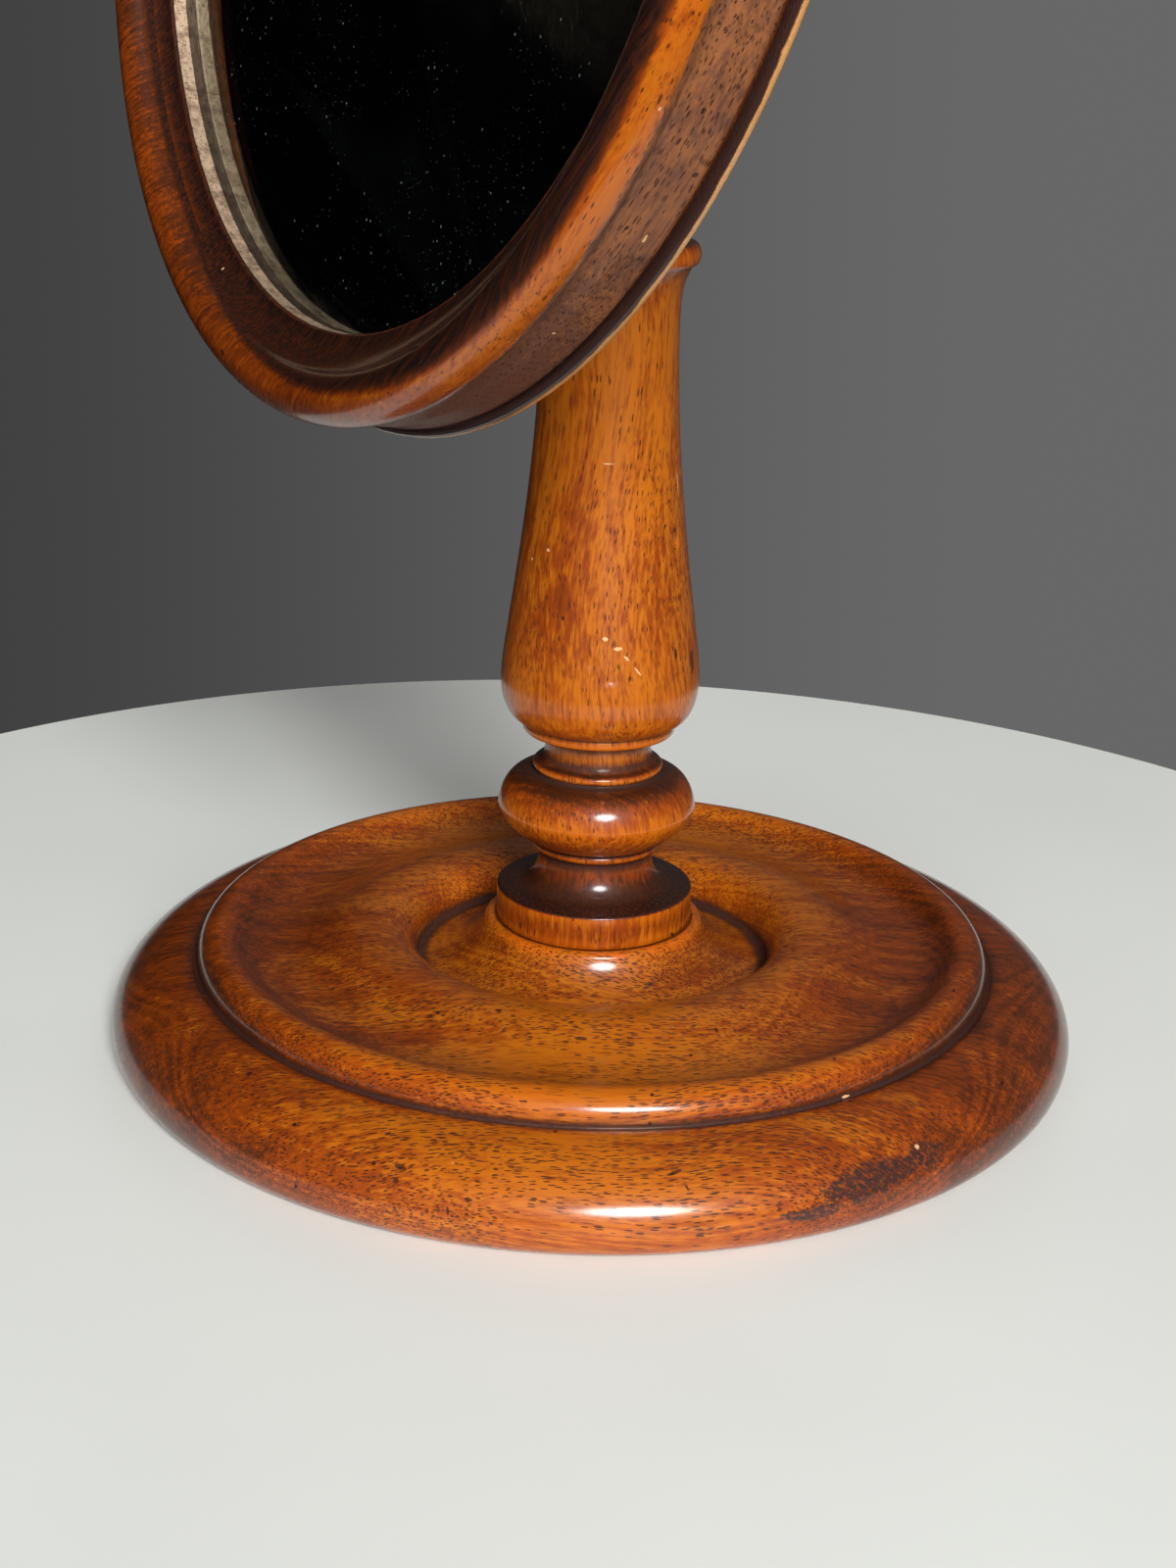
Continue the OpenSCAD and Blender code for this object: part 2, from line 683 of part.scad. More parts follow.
// Section of the frame as radius and distance in front of the hinge axis
function frame_outline() =
    let (
        roll = [front_roll_at, roll_reach],
        quirk = roll + front_roll_r * [cos(152), sin(152)],
        cove_end = quirk - [0.5, 0.9],
        roll_end = roll + front_roll_r * [cos(-34), sin(-34)],
        wall_top = [side_r, roll_end[1] - 4.2])
    concat(
        [[sight_r, slip_front], [sight_r, sight_h - 0.3]],
        [[sight_r + 0.3, sight_h]],
        bend([sight_r + 0.3, sight_h], [sight_r + 2.6, sight_h + 0.1],
            [cove_end[0] - 2, cove_end[1] - 1.9], cove_end, 7),
        arc(roll, front_roll_r, 152, -34, 14),
        bend(roll_end, roll_end - [0.9, 0.9], wall_top + [-0.8, 1.8], wall_top, 6),
        [[side_r, frame_back + 1.4], [side_r - 1.2, frame_back + 0.3]],
        [[side_r - 1.6, frame_back]],
        [[rebate_r, frame_back], [rebate_r, glass_front]],
        [[slip_r + fit, glass_front], [slip_r + fit, slip_front]]);

module mirror_frame() {
    color("chocolate") on_mirror() difference() {
        turned(frame_outline());
        round_back(board_screws_n, screw_at, board_screw_h)
            screw_space(board_screw[0], board_screw[1], board_screw[2], board_screw[3]);
    }
}

module sight_slip() {
    color("silver") on_mirror()
        ring(slip_r, sight_r, glass_front + fit, slip_front);
}

module mirror_glass() {
    color("lightblue") on_mirror() translate([0, 0, glass_back])
        cylinder(r = glass_r, h = glass_t);
}

module silvering() {
    color("black") on_mirror() translate([0, 0, card_front])
        cylinder(r = glass_r - 0.3, h = silver_t);
}

module backing_card() {
    color("tan") on_mirror() translate([0, 0, block_front])
        cylinder(r = glass_r, h = card_t);
}

// Softwood blocks, wedge-shaped in section, glued round the rebate
module glass_blocks() {
    block_w = 24;
    foot = 7;
    color("burlywood") on_mirror() for (i = [0:block_count - 1])
        rotate([0, 0, 360 * (i + 0.5) / block_count])
            translate([rebate_r - 1, block_w / 2, block_front - fit])
                rotate([90, 0, 0]) linear_extrude(height = block_w)
                    polygon([[0, 0], [-foot, 0], [-foot, -1.2],
                        [-2.4, -block_h], [0, -block_h]]);
}

base();
baize_pad();
column();
tenon_wedge();
collar_bush();
lock_insert();
lock_pad();
lock_screw();
rod();
rod_guide();
guide_screw();
fork_head();
cross_pin();
pivot_bolt();
fibre_washers();
nut_washer();
wing_nut();
hinge_plate();
plate_screws();
back_board();
board_screws();
mirror_frame();
sight_slip();
mirror_glass();
silvering();
backing_card();
glass_blocks();
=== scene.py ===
# %% [markdown]
# A turned mahogany table mirror.
#
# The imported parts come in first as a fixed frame: every piece already stands at its real size and
# place, in metres. What follows gives them their surfaces. The big turned pieces are made again
# here as finer surfaces of revolution, because polish shows every facet, and the small brass and
# steel pieces keep their own meshes and only get a finish.

# %% Load the parts
import math
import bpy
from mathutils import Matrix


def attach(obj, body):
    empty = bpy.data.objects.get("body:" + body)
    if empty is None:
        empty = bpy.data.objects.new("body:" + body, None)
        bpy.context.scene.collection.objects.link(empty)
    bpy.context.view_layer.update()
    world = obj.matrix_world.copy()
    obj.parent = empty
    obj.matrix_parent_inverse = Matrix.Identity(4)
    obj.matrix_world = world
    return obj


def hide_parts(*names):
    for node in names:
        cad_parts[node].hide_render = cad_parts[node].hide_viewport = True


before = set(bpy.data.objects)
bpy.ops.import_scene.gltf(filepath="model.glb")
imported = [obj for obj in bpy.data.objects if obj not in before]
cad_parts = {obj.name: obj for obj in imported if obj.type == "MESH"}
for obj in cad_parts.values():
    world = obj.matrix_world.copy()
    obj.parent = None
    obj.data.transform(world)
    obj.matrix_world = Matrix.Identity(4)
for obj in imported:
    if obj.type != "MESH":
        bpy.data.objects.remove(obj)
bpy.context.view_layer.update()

from types import SimpleNamespace

import bpy
import numpy as np
from mathutils import Matrix, Vector

MM = 0.001

# %% [markdown]
# The camera.
#
# The photograph is taken from the mirror's left front, about 5 cm above the top of the column. The
# place, the direction and the lens were worked out from the ellipses that the turned rings make in
# it. A camera looks along its own -Z with +Y up, so its turn is a matrix with right, up and back
# as columns.

# %% Camera
CAMERA_AT = Vector((0.3862, -0.2338, 0.2122))
LOOKS_ALONG = Vector((-0.8086, 0.4850, -0.3330)).normalized()
UP_HINT = Vector((-0.2998, 0.1472, 0.9426))
FOCAL_PIXELS = 2372.4
PHOTO_HEIGHT = 1600
SENSOR = 36.0
NEAREST_SEEN = 0.01
RIGHTWARD = LOOKS_ALONG.cross(UP_HINT).normalized()


def make_camera():
    """Camera whose right is forward cross up.

    Its lens is the focal length in pixels times the sensor's height over the picture's.
    """
    data = bpy.data.cameras.new("camera")
    data.sensor_fit = "VERTICAL"
    data.sensor_height = SENSOR
    data.lens = FOCAL_PIXELS * SENSOR / PHOTO_HEIGHT
    data.clip_start = NEAREST_SEEN
    camera = bpy.data.objects.new("camera", data)
    bpy.context.scene.collection.objects.link(camera)
    up = RIGHTWARD.cross(LOOKS_ALONG)
    turn = Matrix((RIGHTWARD, up, -LOOKS_ALONG)).transposed()
    camera.matrix_world = Matrix.Translation(CAMERA_AT) @ turn.to_4x4()
    bpy.context.scene.camera = camera
    return camera


camera = make_camera()
print("lens in mm:", round(camera.data.lens, 2))

# %% [markdown]
# Shader arithmetic.
#
# A material is a network of nodes, and long sums of nodes are hard to read. The class Amount
# wraps one number that varies over a surface, and plain Python arithmetic on it adds Math nodes.
# Colours never go through Math nodes, which would turn them grey: they are blended by a Mix node.

# %% Amount
class Amount:
    """A number that varies over a surface, with arithmetic that adds Math nodes."""

    def __init__(self, finish, socket):
        self.finish = finish
        self.socket = socket

    def maths(self, operation, *values):
        node = self.finish.add("ShaderNodeMath", {"operation": operation}, dict(enumerate(values)))
        return Amount(self.finish, node.outputs[0])

    def __add__(self, other):
        return self.maths("ADD", self, other)

    def __radd__(self, other):
        return self.maths("ADD", other, self)

    def __sub__(self, other):
        return self.maths("SUBTRACT", self, other)

    def __rsub__(self, other):
        return self.maths("SUBTRACT", other, self)

    def __mul__(self, other):
        return self.maths("MULTIPLY", self, other)

    def __rmul__(self, other):
        return self.maths("MULTIPLY", other, self)

    def or_more(self, other):
        return self.maths("MAXIMUM", self, other)

    def between(self, low, high, first=0.0, last=1.0):
        """first below low, last above high, and a smooth step from one to the other."""
        node = self.finish.add("ShaderNodeMapRange", {"interpolation_type": "SMOOTHSTEP"}, {
            "Value": self, "From Min": low, "From Max": high, "To Min": first, "To Max": last})
        return Amount(self.finish, node.outputs["Result"])


print("arithmetic on shader numbers:", Amount.__name__)

# %% [markdown]
# Finish is one material while it is being built, and its method add makes every node. The other
# methods are the few things that old wood and metal need: noises, bands, flecks and single marks.

# %% Finish
SPOT_CORE = 0.75                              # a fleck is solid out to this part of its size
SPOT_FADE = 0.08                              # in this share of the cells a fleck is half there
MARK_CORE, MARK_RIM = 0.9, 1.25               # in half lengths: a mark is solid, and it is gone
MARK_DEPTH = 0.6                              # least half depth in mm, to reach the surface
MIX_FIRST, MIX_SECOND, MIX_RESULT = 6, 7, 2   # colour sockets of a Mix node


def even(scale):
    """The same scale along all three axes."""
    return (scale, scale, scale)


def rgba(colour):
    """Three numbers with full alpha added. A socket or four numbers stay as they are."""
    if isinstance(colour, tuple) and len(colour) == 3:
        return (*colour, 1.0)
    return colour


class Finish:
    """One material: its node tree, its main shader, and the one method that adds nodes."""

    def __init__(self, name, **constants):
        self.material = bpy.data.materials.new(name)
        self.material.use_nodes = True
        self.tree = self.material.node_tree
        self.shader = self.tree.nodes["Principled BSDF"]
        for socket, value in constants.items():
            self.shader.inputs[socket.replace("_", " ")].default_value = value
        self.object_place = self.add("ShaderNodeTexCoord").outputs["Object"]

    def feed(self, socket, value):
        if isinstance(value, Amount):
            value = value.socket
        if isinstance(value, bpy.types.NodeSocket):
            self.tree.links.new(value, socket)
        else:
            socket.default_value = value

    def add(self, kind, settings=None, inputs=None):
        node = self.tree.nodes.new(kind)
        for setting, value in (settings or {}).items():
            setattr(node, setting, value)
        for socket, value in (inputs or {}).items():
            self.feed(node.inputs[socket], value)
        return node

    def set(self, socket, value):
        self.feed(self.shader.inputs[socket], value)

    def places(self, turn=(0, 0, 0), shift=(0, 0, 0)):
        """Object coordinates in millimetres, turned by angles in degrees."""
        return self.add("ShaderNodeMapping", None, {
            "Vector": self.object_place, "Location": shift,
            "Rotation": tuple(math.radians(a) for a in turn),
            "Scale": (1 / MM, 1 / MM, 1 / MM)}).outputs["Vector"]

    def turned(self, vector, turn):
        return self.add("ShaderNodeVectorRotate", {"rotation_type": "EULER_XYZ"}, {
            "Vector": vector, "Rotation": tuple(math.radians(t) for t in turn)}).outputs[0]

    def vectors(self, operation, first, second):
        node = self.add("ShaderNodeVectorMath", {"operation": operation}, {0: first, 1: second})
        return node.outputs["Vector"]

    def length(self, vector):
        node = self.add("ShaderNodeVectorMath", {"operation": "LENGTH"}, {0: vector})
        return Amount(self, node.outputs["Value"])

    def noise(self, vector, grain=(1, 1, 1), detail=2.0, rough=0.5):
        """Noise with grain waves to the millimetre along each axis."""
        node = self.add("ShaderNodeTexNoise", None, {
            "Vector": self.vectors("MULTIPLY", vector, grain), "Scale": 1.0,
            "Detail": detail, "Roughness": rough})
        return Amount(self, node.outputs["Fac"])

    def bands(self, position, scale, detail=2.0):
        """Noise along one number only, which makes bands of uneven width."""
        node = self.add("ShaderNodeTexNoise", {"noise_dimensions": "1D"}, {
            "W": position, "Scale": scale, "Detail": detail})
        return Amount(self, node.outputs["Fac"])

    def flecks(self, vector, grain, size, share):
        """Short flecks: one spot in each cell of a stretched grid, present in a share of cells."""
        node = self.add("ShaderNodeTexVoronoi", None, {
            "Vector": self.vectors("MULTIPLY", vector, grain), "Scale": 1.0})
        spot = Amount(self, node.outputs["Distance"]).between(size * SPOT_CORE, size, 1.0, 0.0)
        chance = self.add("ShaderNodeSeparateColor", None, {"Color": node.outputs["Color"]})
        present = share - Amount(self, chance.outputs["Red"])
        return spot * present.between(0.0, SPOT_FADE)

    def mark(self, vector, where, rough, ragged):
        """One dent, nick or stain on a turned piece: 1 inside an ellipsoid with a ragged edge.

        where is (turn, radius, height, half length, half width, lean): the ellipsoid lies along
        the turning, and lean tips it up from there, in degrees.
        """
        turn, radius, height, along, across, lean = where
        angle = math.radians(turn)
        node = self.add("ShaderNodeMapping", {"vector_type": "TEXTURE"}, {
            "Vector": vector,
            "Location": (radius * math.cos(angle), radius * math.sin(angle), height),
            "Rotation": (0, math.radians(lean), angle + math.pi / 2),
            "Scale": (along, max(across, MARK_DEPTH), across)})
        reach = self.length(node.outputs["Vector"]) + rough * ragged
        return reach.between(MARK_CORE, MARK_RIM, 1.0, 0.0)

    def part(self, vector, axis):
        """One coordinate of a vector."""
        return Amount(self, self.add("ShaderNodeSeparateXYZ", None, {0: vector}).outputs[axis])

    def attribute(self, name):
        node = self.add("ShaderNodeAttribute", {"attribute_name": name})
        return Amount(self, node.outputs["Fac"])

    def blend(self, share, first, second):
        """Colour that is first where share is 0 and second where it is 1."""
        node = self.add("ShaderNodeMix", {"data_type": "RGBA"}, {0: share})
        self.feed(node.inputs[MIX_FIRST], rgba(first))
        self.feed(node.inputs[MIX_SECOND], rgba(second))
        return node.outputs[MIX_RESULT]

    def bump(self, height):
        """Relief whose height is in millimetres."""
        node = self.add("ShaderNodeBump", None, {"Height": height, "Distance": MM, "Strength": 1.0})
        self.set("Normal", node.outputs["Normal"])


print("materials are built by:", Finish.__name__)

# %% [markdown]
# Old polished mahogany.
#
# Growth rings are shells round a distant pith, so their tone comes from the distance to the pith,
# bent a little by slow noise: a dish cut through the shells then shows curved figure by itself.
# Fibres and short dark pores run along the grain. End grain drinks stain, so a face that looks
# along the grain is darker. Dirt stays in every hollow and hands rub every edge. The lathe below
# writes five layers on each point of a turned piece: end_grain, stain_and_shade for dark stain
# together with painted shade and a painted highlight, hollow, rubbed, and faded for a face whose
# polish has gone.
#
# The first cell holds the colours, from light to dark, and the scale of every pattern in waves or
# cells to the millimetre, along the grain and in the two directions across it.

# %% Colours and scales of the wood
AMBER = (0.47, 0.124, 0.003)
RUSSET = (0.25, 0.040, 0.001)
UMBER = (0.050, 0.012, 0.003)
DIRT = (0.036, 0.015, 0.012)
SOOT = (0.012, 0.006, 0.005)
ORANGE = (0.58, 0.105, 0.001)
BARE = (0.80, 0.47, 0.22)
FADED = (0.28, 0.102, 0.036)
WASHED = (0.12, 0.050, 0.032)
PALE = (0.60, 0.30, 0.10)
# Between two darknesses the wood turns into the next colour.
DARKER_COLOURS = ((0.0, 0.62, RUSSET), (0.50, 1.25, UMBER), (1.20, 1.80, SOOT))
# What each noise adds to the darkness, from its low to its high.
DARKENING = {"years": 0.35, "ribbon": 0.9, "mottle": 0.5, "fibre": 1.1, "fleck": 1.2}
DARK_AT_LEAST = 0.06
DARK_END_GRAIN = 0.35
LIGHT_WHERE_RUBBED = 0.25
DRIFT_WAVES = 0.012
DRIFT_REACH = 24
FIBRE_WAVES = (0.07, 1.7, 1.7)
FLECK_WAVES = (0.25, 1.1, 1.1)
RIBBON_WAVES = (0.015, 0.16, 0.16)
ZONE_WAVES = (0.03, 0.10, 0.10)
PORE_CELLS = (0.42, 2.7, 2.7)
STREAK_CELLS = (0.15, 2.4, 2.4)
BLACK_CELLS = (0.10, 0.24, 0.24)
BARE_CELLS = (0.05, 0.13, 0.13)
NO_TURN = ((0, 0, 0), (0, 0, 0))
EDGE_WIDTH = 3.0
EDGE_RAMP = 0.6
LEVEL_RAMP = 0.15
print("steps from light to dark wood:", len(DARKER_COLOURS))

# %% [markdown]
# The noises of the wood come first, and then its separate spots: pores and dark streaks that lie
# along the grain, black nicks and worm holes, pale chips, and wide stains.

# %% Noises and spots of the wood
def wood_noises(finish, own, grain, pith):
    """Noises of the wood by name, in coordinates turned so that X runs along the grain.

    Slow noise shifts the place across the grain. rings and years are bands of the distance to the
    pith after that shift. fibre, fleck, ribbon and zone are stretched along the grain, and mottle,
    cloud and grit are even.
    """
    place = finish.turned(own, grain)
    drift = finish.add("ShaderNodeTexNoise", None, {
        "Vector": place, "Scale": DRIFT_WAVES, "Detail": 1.0}).outputs["Color"]
    shift = finish.vectors("MULTIPLY", drift, (0, DRIFT_REACH, DRIFT_REACH))
    bent = finish.vectors("ADD", place, shift)
    middle = DRIFT_REACH / 2    # the shift where the noise is at its mean
    across = finish.vectors("SUBTRACT", bent, (0, pith[0] + middle, pith[1] + middle))
    ring_at = finish.length(finish.vectors("MULTIPLY", across, (0, 1, 1)))
    return SimpleNamespace(
        bent=bent,
        rings=finish.bands(ring_at, 1.0),
        years=finish.bands(ring_at, 0.13, 1.0),
        fibre=finish.noise(bent, FIBRE_WAVES, 4.0, 0.65),
        fleck=finish.noise(bent, FLECK_WAVES, 3.0, 0.6),
        ribbon=finish.noise(bent, RIBBON_WAVES),
        zone=finish.noise(bent, ZONE_WAVES),
        mottle=finish.noise(place, even(0.03), 3.0),
        cloud=finish.noise(place, even(0.13), 4.0, 0.65),
        grit=finish.noise(place, even(1.4), 2.0, 0.6))


def wood_spots(finish, own, wood, pores, faded, nicks, chips, stains):
    """Spots by name: pore and streak lie along the grain, black holds nicks and worm holes, bare
    holds chips down to raw wood, and stain holds the wide dark stains."""
    crowded = ((wood.zone - 0.36) * 3.9 + 0.3) * pores + 0.3 * faded
    pore = finish.flecks(wood.bent, PORE_CELLS, 0.41, crowded)
    streak = finish.flecks(wood.bent, STREAK_CELLS, 0.35, (wood.fibre - 0.34) * 2.0)
    black = finish.flecks(finish.turned(own, (20, 35, 50)), BLACK_CELLS, 0.10, 0.22 * wood.cloud)
    bare = finish.flecks(finish.turned(own, (70, 15, 30)), BARE_CELLS, 0.035, 0.04)
    stain = 0.0
    for where in nicks:
        black = black.or_more(0.85 * finish.mark(own, where, wood.grit - 0.2, 0.8))
    for where in chips:
        bare = bare.or_more(finish.mark(own, where, wood.grit, 0.8))
    for where in stains:
        stain = finish.mark(own, where, wood.cloud - 0.5, 3.0).or_more(stain)
    return SimpleNamespace(pore=pore, streak=streak, black=black, bare=bare, stain=stain)


print("noises that darken the wood:", ", ".join(DARKENING))

# %% [markdown]
# The wood itself adds up how dark it is and blends the colours in turn, from amber to soot. The
# bleached face of a worn side comes over that, then the pores, the dirt and the marks. A thin
# board also gets a dirty and a bare pale half along its edge.

# %% Mahogany
def edge_colours(finish, own, wood, edge, colour):
    """Colour with the edge of a thin board on it: dirt above the level and pale raw wood below."""
    radius, level = edge
    reach = finish.length(finish.vectors("MULTIPLY", own, (1, 1, 0)))
    outmost = reach.between(radius - EDGE_WIDTH, radius - EDGE_WIDTH + EDGE_RAMP)
    height = finish.part(own, "Z") + 0.8 * (wood.cloud - 0.5)
    above = height.between(level - LEVEL_RAMP, level + LEVEL_RAMP)
    below = height.between(level - LEVEL_RAMP, level + LEVEL_RAMP, 1.0, 0.0)
    colour = finish.blend(outmost * above, colour, DIRT)
    return finish.blend(outmost * below * 0.9, colour, PALE)


def mahogany(name, grain, pith, tone, pores, stand=NO_TURN, nicks=(), chips=(), stains=(),
             edge=None):
    """Polished wood whose grain lies along X after the turn grain, with its pith at (y, z).

    tone darkens all of it, and pores says how crowded its pores are. stand turns and shifts object
    coordinates into the ones that the piece was turned in. edge is the radius and level of a
    board's edge: dirt lies above it and bare pale wood shows below.
    """
    finish = Finish(name, Coat_Roughness=0.16, Coat_IOR=1.42, IOR=1.45, Specular_IOR_Level=0.3)
    own = finish.places(*stand)
    wood = wood_noises(finish, own, grain, pith)
    # The dark stain layer also carries painted shade, and on the frame a painted highlight line.
    end, stain_and_shade, hollow, rubbed, faded = (
        finish.attribute(a) for a in ("end_grain", "stain_and_shade", "hollow", "rubbed", "faded"))
    spots = wood_spots(finish, own, wood, pores, faded, nicks, chips, stains)
    fibre, cloud, grit = wood.fibre, wood.cloud, wood.grit

    ragged = 0.9 * stain_and_shade * (1.0 - stain_and_shade).or_more(0.0) * (fibre + cloud - 1.0)
    dark = DARK_AT_LEAST + tone + stain_and_shade + ragged + DARK_END_GRAIN * end - LIGHT_WHERE_RUBBED * rubbed
    dark = dark + (0.5 + 0.5 * end) * (wood.rings - 0.5)
    for noise, weight in DARKENING.items():
        dark = dark + weight * (getattr(wood, noise) - 0.5)
    colour = AMBER
    for low, high, darker in DARKER_COLOURS:
        colour = finish.blend(dark.between(low, high), colour, darker)
    redder = finish.blend(0.5, RUSSET, colour)
    colour = finish.blend(fibre.between(0.42, 0.66) * 0.45, colour, redder)
    bared = rubbed * (1.0 - 1.3 * stain_and_shade).or_more(0.0)
    colour = finish.blend(bared * cloud.between(0.30, 0.55) * 0.7, colour, ORANGE)

    washed = (faded + 0.5 * (cloud - 0.5) + 0.5 * (fibre - 0.5)).between(0.40, 0.60)
    rinsed = (0.5 * cloud + 0.5 * fibre + 0.3 * stain_and_shade).between(0.40, 0.62)
    colour = finish.blend(washed * 0.94, colour, finish.blend(rinsed, FADED, WASHED))
    colour = finish.blend((spots.streak * 0.5).or_more(spots.pore * 0.88), colour, UMBER)
    dirt = hollow * (1.0 - faded) + 0.5 * (cloud - 0.5) + 0.3 * (grit - 0.5)
    colour = finish.blend(dirt.between(0.05, 0.85) * 0.7, colour, UMBER)
    colour = finish.blend(dirt.between(0.60, 1.1) * 0.85, colour, DIRT)
    colour = finish.blend(spots.stain * (0.45 + 0.5 * fibre.between(0.42, 0.56)), colour, DIRT)
    colour = finish.blend(spots.black * 0.9, colour, SOOT)
    colour = finish.blend(spots.bare * 0.85, colour, BARE)
    if edge is not None:
        colour = edge_colours(finish, own, wood, edge, colour)

    caked = dirt.between(0.3, 1.0)
    finish.set("Base Color", colour)
    finish.set("Roughness", 0.40 + 0.16 * cloud + 0.2 * caked + 0.15 * washed)
    finish.set("Coat Weight", (0.95 - 0.8 * caked - 0.7 * washed) * (1.0 - 0.8 * spots.black))
    finish.bump(0.010 * fibre + 0.008 * grit + 0.04 * cloud
                - 0.05 * spots.pore - 0.02 * spots.streak
                - 0.12 * spots.black - 0.06 * spots.bare - 0.06 * washed * grit)
    return finish.material


print("colours of mahogany:", AMBER, "to", SOOT)

# %% [markdown]
# Marks that the photograph shows, as (turn, radius, height, half length, half width, lean).
#
# The turn is in degrees round the piece's own axis and the lengths are in millimetres. The base has
# nicks on its roll and in its dish and dark stains at the right of the roll and on the boss, the
# column has pale chips and worm holes, and the frame has a notch, dark spots and pale chips.

# %% Marks and woods
HINGE_Z = 243.5
REST_LEAN = 8.86
UPRIGHT = math.radians(90 - REST_LEAN)
BASE_NICKS = (
    (-76, 89.3, 16.2, 1.2, 0.35, 35), (-54, 96.2, 12.3, 0.5, 0.5, 0),
    (-51, 95.9, 12.6, 1.7, 0.5, 15), (-51, 97.7, 10.7, 0.7, 0.4, 0),
    (-54, 91, 15.6, 0.8, 0.3, -30), (-45, 99.5, 7.7, 1.0, 0.35, 80),
    (-43, 98.4, 9.9, 0.8, 0.35, 10), (-35, 84.1, 17.1, 0.8, 0.4, 80),
    (-21.5, 93.5, 14.3, 1.8, 0.3, -15), (-20.5, 96, 12.2, 3, 0.25, 60),
    (25, 94.6, 13.6, 0.8, 0.3, 0), (-52, 49.5, 22.6, 0.8, 0.45, 0),
    (-64, 54, 21.4, 0.6, 0.4, 30), (-33, 54.5, 21.2, 1.4, 0.4, 0),
    (-5, 54.5, 21.2, 0.5, 0.5, 0), (-125, 39, 20.9, 1.6, 0.5, 60),
    (-122, 38.5, 20.4, 1.2, 0.4, 60))
BASE_CHIPS = ((4, 82.2, 17.1, 1.3, 0.4, 0), (7, 96.7, 11.9, 0.7, 0.6, 0))
BASE_STAINS = (
    (1, 98, 10, 9, 3, 0), (8, 98, 10.5, 5, 2.6, 0), (-8, 99.6, 6.4, 5, 1.0, 0),
    (-64, 25.6, 20.9, 6.5, 0.8, 0), (5, 26, 20.4, 5.5, 0.8, -20))
COLUMN_NICKS = (
    (28, 16, 108.5, 0.7, 0.7, 0), (17, 15.8, 109.8, 0.45, 0.45, 0), (37, 19.6, 81.8, 3, 1, 90),
    (19, 19.2, 84.8, 1.3, 0.5, 90), (-85, 13.9, 131, 0.4, 0.4, 0))
COLUMN_CHIPS = (
    (-72, 16.4, 104.9, 0.6, 0.5, 0), (-87, 16.8, 102.3, 0.5, 0.4, 0),
    (-29, 18.6, 89.1, 0.8, 0.6, 0), (-21, 18.9, 87.2, 1.1, 0.5, 0), (-16, 19.1, 85.3, 1, 0.35, 40),
    (-9, 19.5, 82.5, 1.6, 0.25, 50), (-30, 14.6, 122.5, 1.7, 0.2, 0),
    (37, 15, 117.5, 3.6, 0.25, 90))
FRAME_NICKS = (
    (-103, 114.5, 52.9, 1.3, 0.5, 0), (-29, 118.2, 40, 0.6, 0.5, 0),
    (-34, 118.2, 36.1, 0.6, 0.6, 0), (-39.5, 118, 41.7, 0.5, 0.3, 0),
    (-47, 119, 47.9, 0.8, 0.3, 0), (-28.6, 119, 48.2, 1.1, 0.3, 0))
FRAME_CHIPS = (
    (-40, 118.2, 38, 1.2, 0.4, 0), (-51.6, 118.2, 40.8, 0.4, 0.4, 0),
    (-114, 106.7, 47.3, 0.4, 0.4, 0), (-29.2, 119, 47.6, 0.5, 0.3, 0))
GRAIN_OF_BASE = 58.8
BACK_EDGE = (119.6, 32.65)
ON_MIRROR = ((REST_LEAN - 90, 0, 0),
             (0, -HINGE_Z * math.sin(UPRIGHT), -HINGE_Z * math.cos(UPRIGHT)))
base_wood = mahogany("mahogany_of_base", grain=(0, 0, -GRAIN_OF_BASE), pith=(-30, -130),
                     tone=0.03, pores=1.0, nicks=BASE_NICKS, chips=BASE_CHIPS, stains=BASE_STAINS)
column_wood = mahogany("mahogany_of_column", grain=(0, 90, 0), pith=(55, 38), tone=0.04, pores=0.2,
                       nicks=COLUMN_NICKS, chips=COLUMN_CHIPS)
frame_wood = mahogany("mahogany_of_frame", grain=(0, 0, -50), pith=(210, 70), tone=0.02, pores=0.2,
                      stand=ON_MIRROR, nicks=FRAME_NICKS, chips=FRAME_CHIPS)
back_wood = mahogany("mahogany_of_back", grain=(0, 0, 80), pith=(150, -90), tone=0.45, pores=0.8,
                     stand=ON_MIRROR, edge=BACK_EDGE)
print("woods:", base_wood.name, column_wood.name, frame_wood.name, back_wood.name)

# %% [markdown]
# Brass, steel and the soft and hidden materials.
#
# Each is the same idea at a smaller scale: a clean colour, a tarnished or dusty one, and a noise
# that says how much of each, which also moves the roughness.

# %% Metals and small materials
TARNISH_RAMP = 0.3


def metal(name, clean, tarnished, tarnish, rough, grain=(3, 3, 3)):
    """Metal whose tarnish follows noise, with fine marks that are stretched by grain."""
    finish = Finish(name, Metallic=1.0)
    place = finish.places()
    clouds = finish.noise(place, even(0.22), 5.0, 0.65)
    spots = finish.noise(place, even(1.1), 3.0, 0.7)
    lines = finish.noise(place, grain)
    worn = (clouds + 0.35 * spots).between(tarnish, tarnish + TARNISH_RAMP)
    colour = finish.blend(worn, clean, tarnished)
    finish.set("Base Color", finish.blend(spots.between(0.68, 0.8) * 0.5, colour, UMBER))
    finish.set("Roughness", rough + 0.22 * worn + 0.1 * lines)
    finish.bump(0.006 * lines + 0.01 * spots)
    return finish.material


def dull(name, colour_a, colour_b, scale, rough, depth, stretch=(1, 1, 1), sheen=0.0):
    """Dry material such as felt, leather, card or raw pine, from two colours and one noise."""
    finish = Finish(name, Sheen_Weight=sheen)
    place = finish.places((0, 0, 20))
    weave = finish.noise(place, tuple(scale * s for s in stretch), 4.0, 0.7)
    stain = finish.noise(place, even(0.05), 3.0)
    colour = finish.blend(weave.between(0.3, 0.7), colour_a, colour_b)
    finish.set("Base Color", finish.blend(stain.between(0.55, 0.75) * 0.4, colour, UMBER))
    finish.set("Roughness", rough + 0.1 * weave)
    finish.bump(depth * weave)
    return finish.material


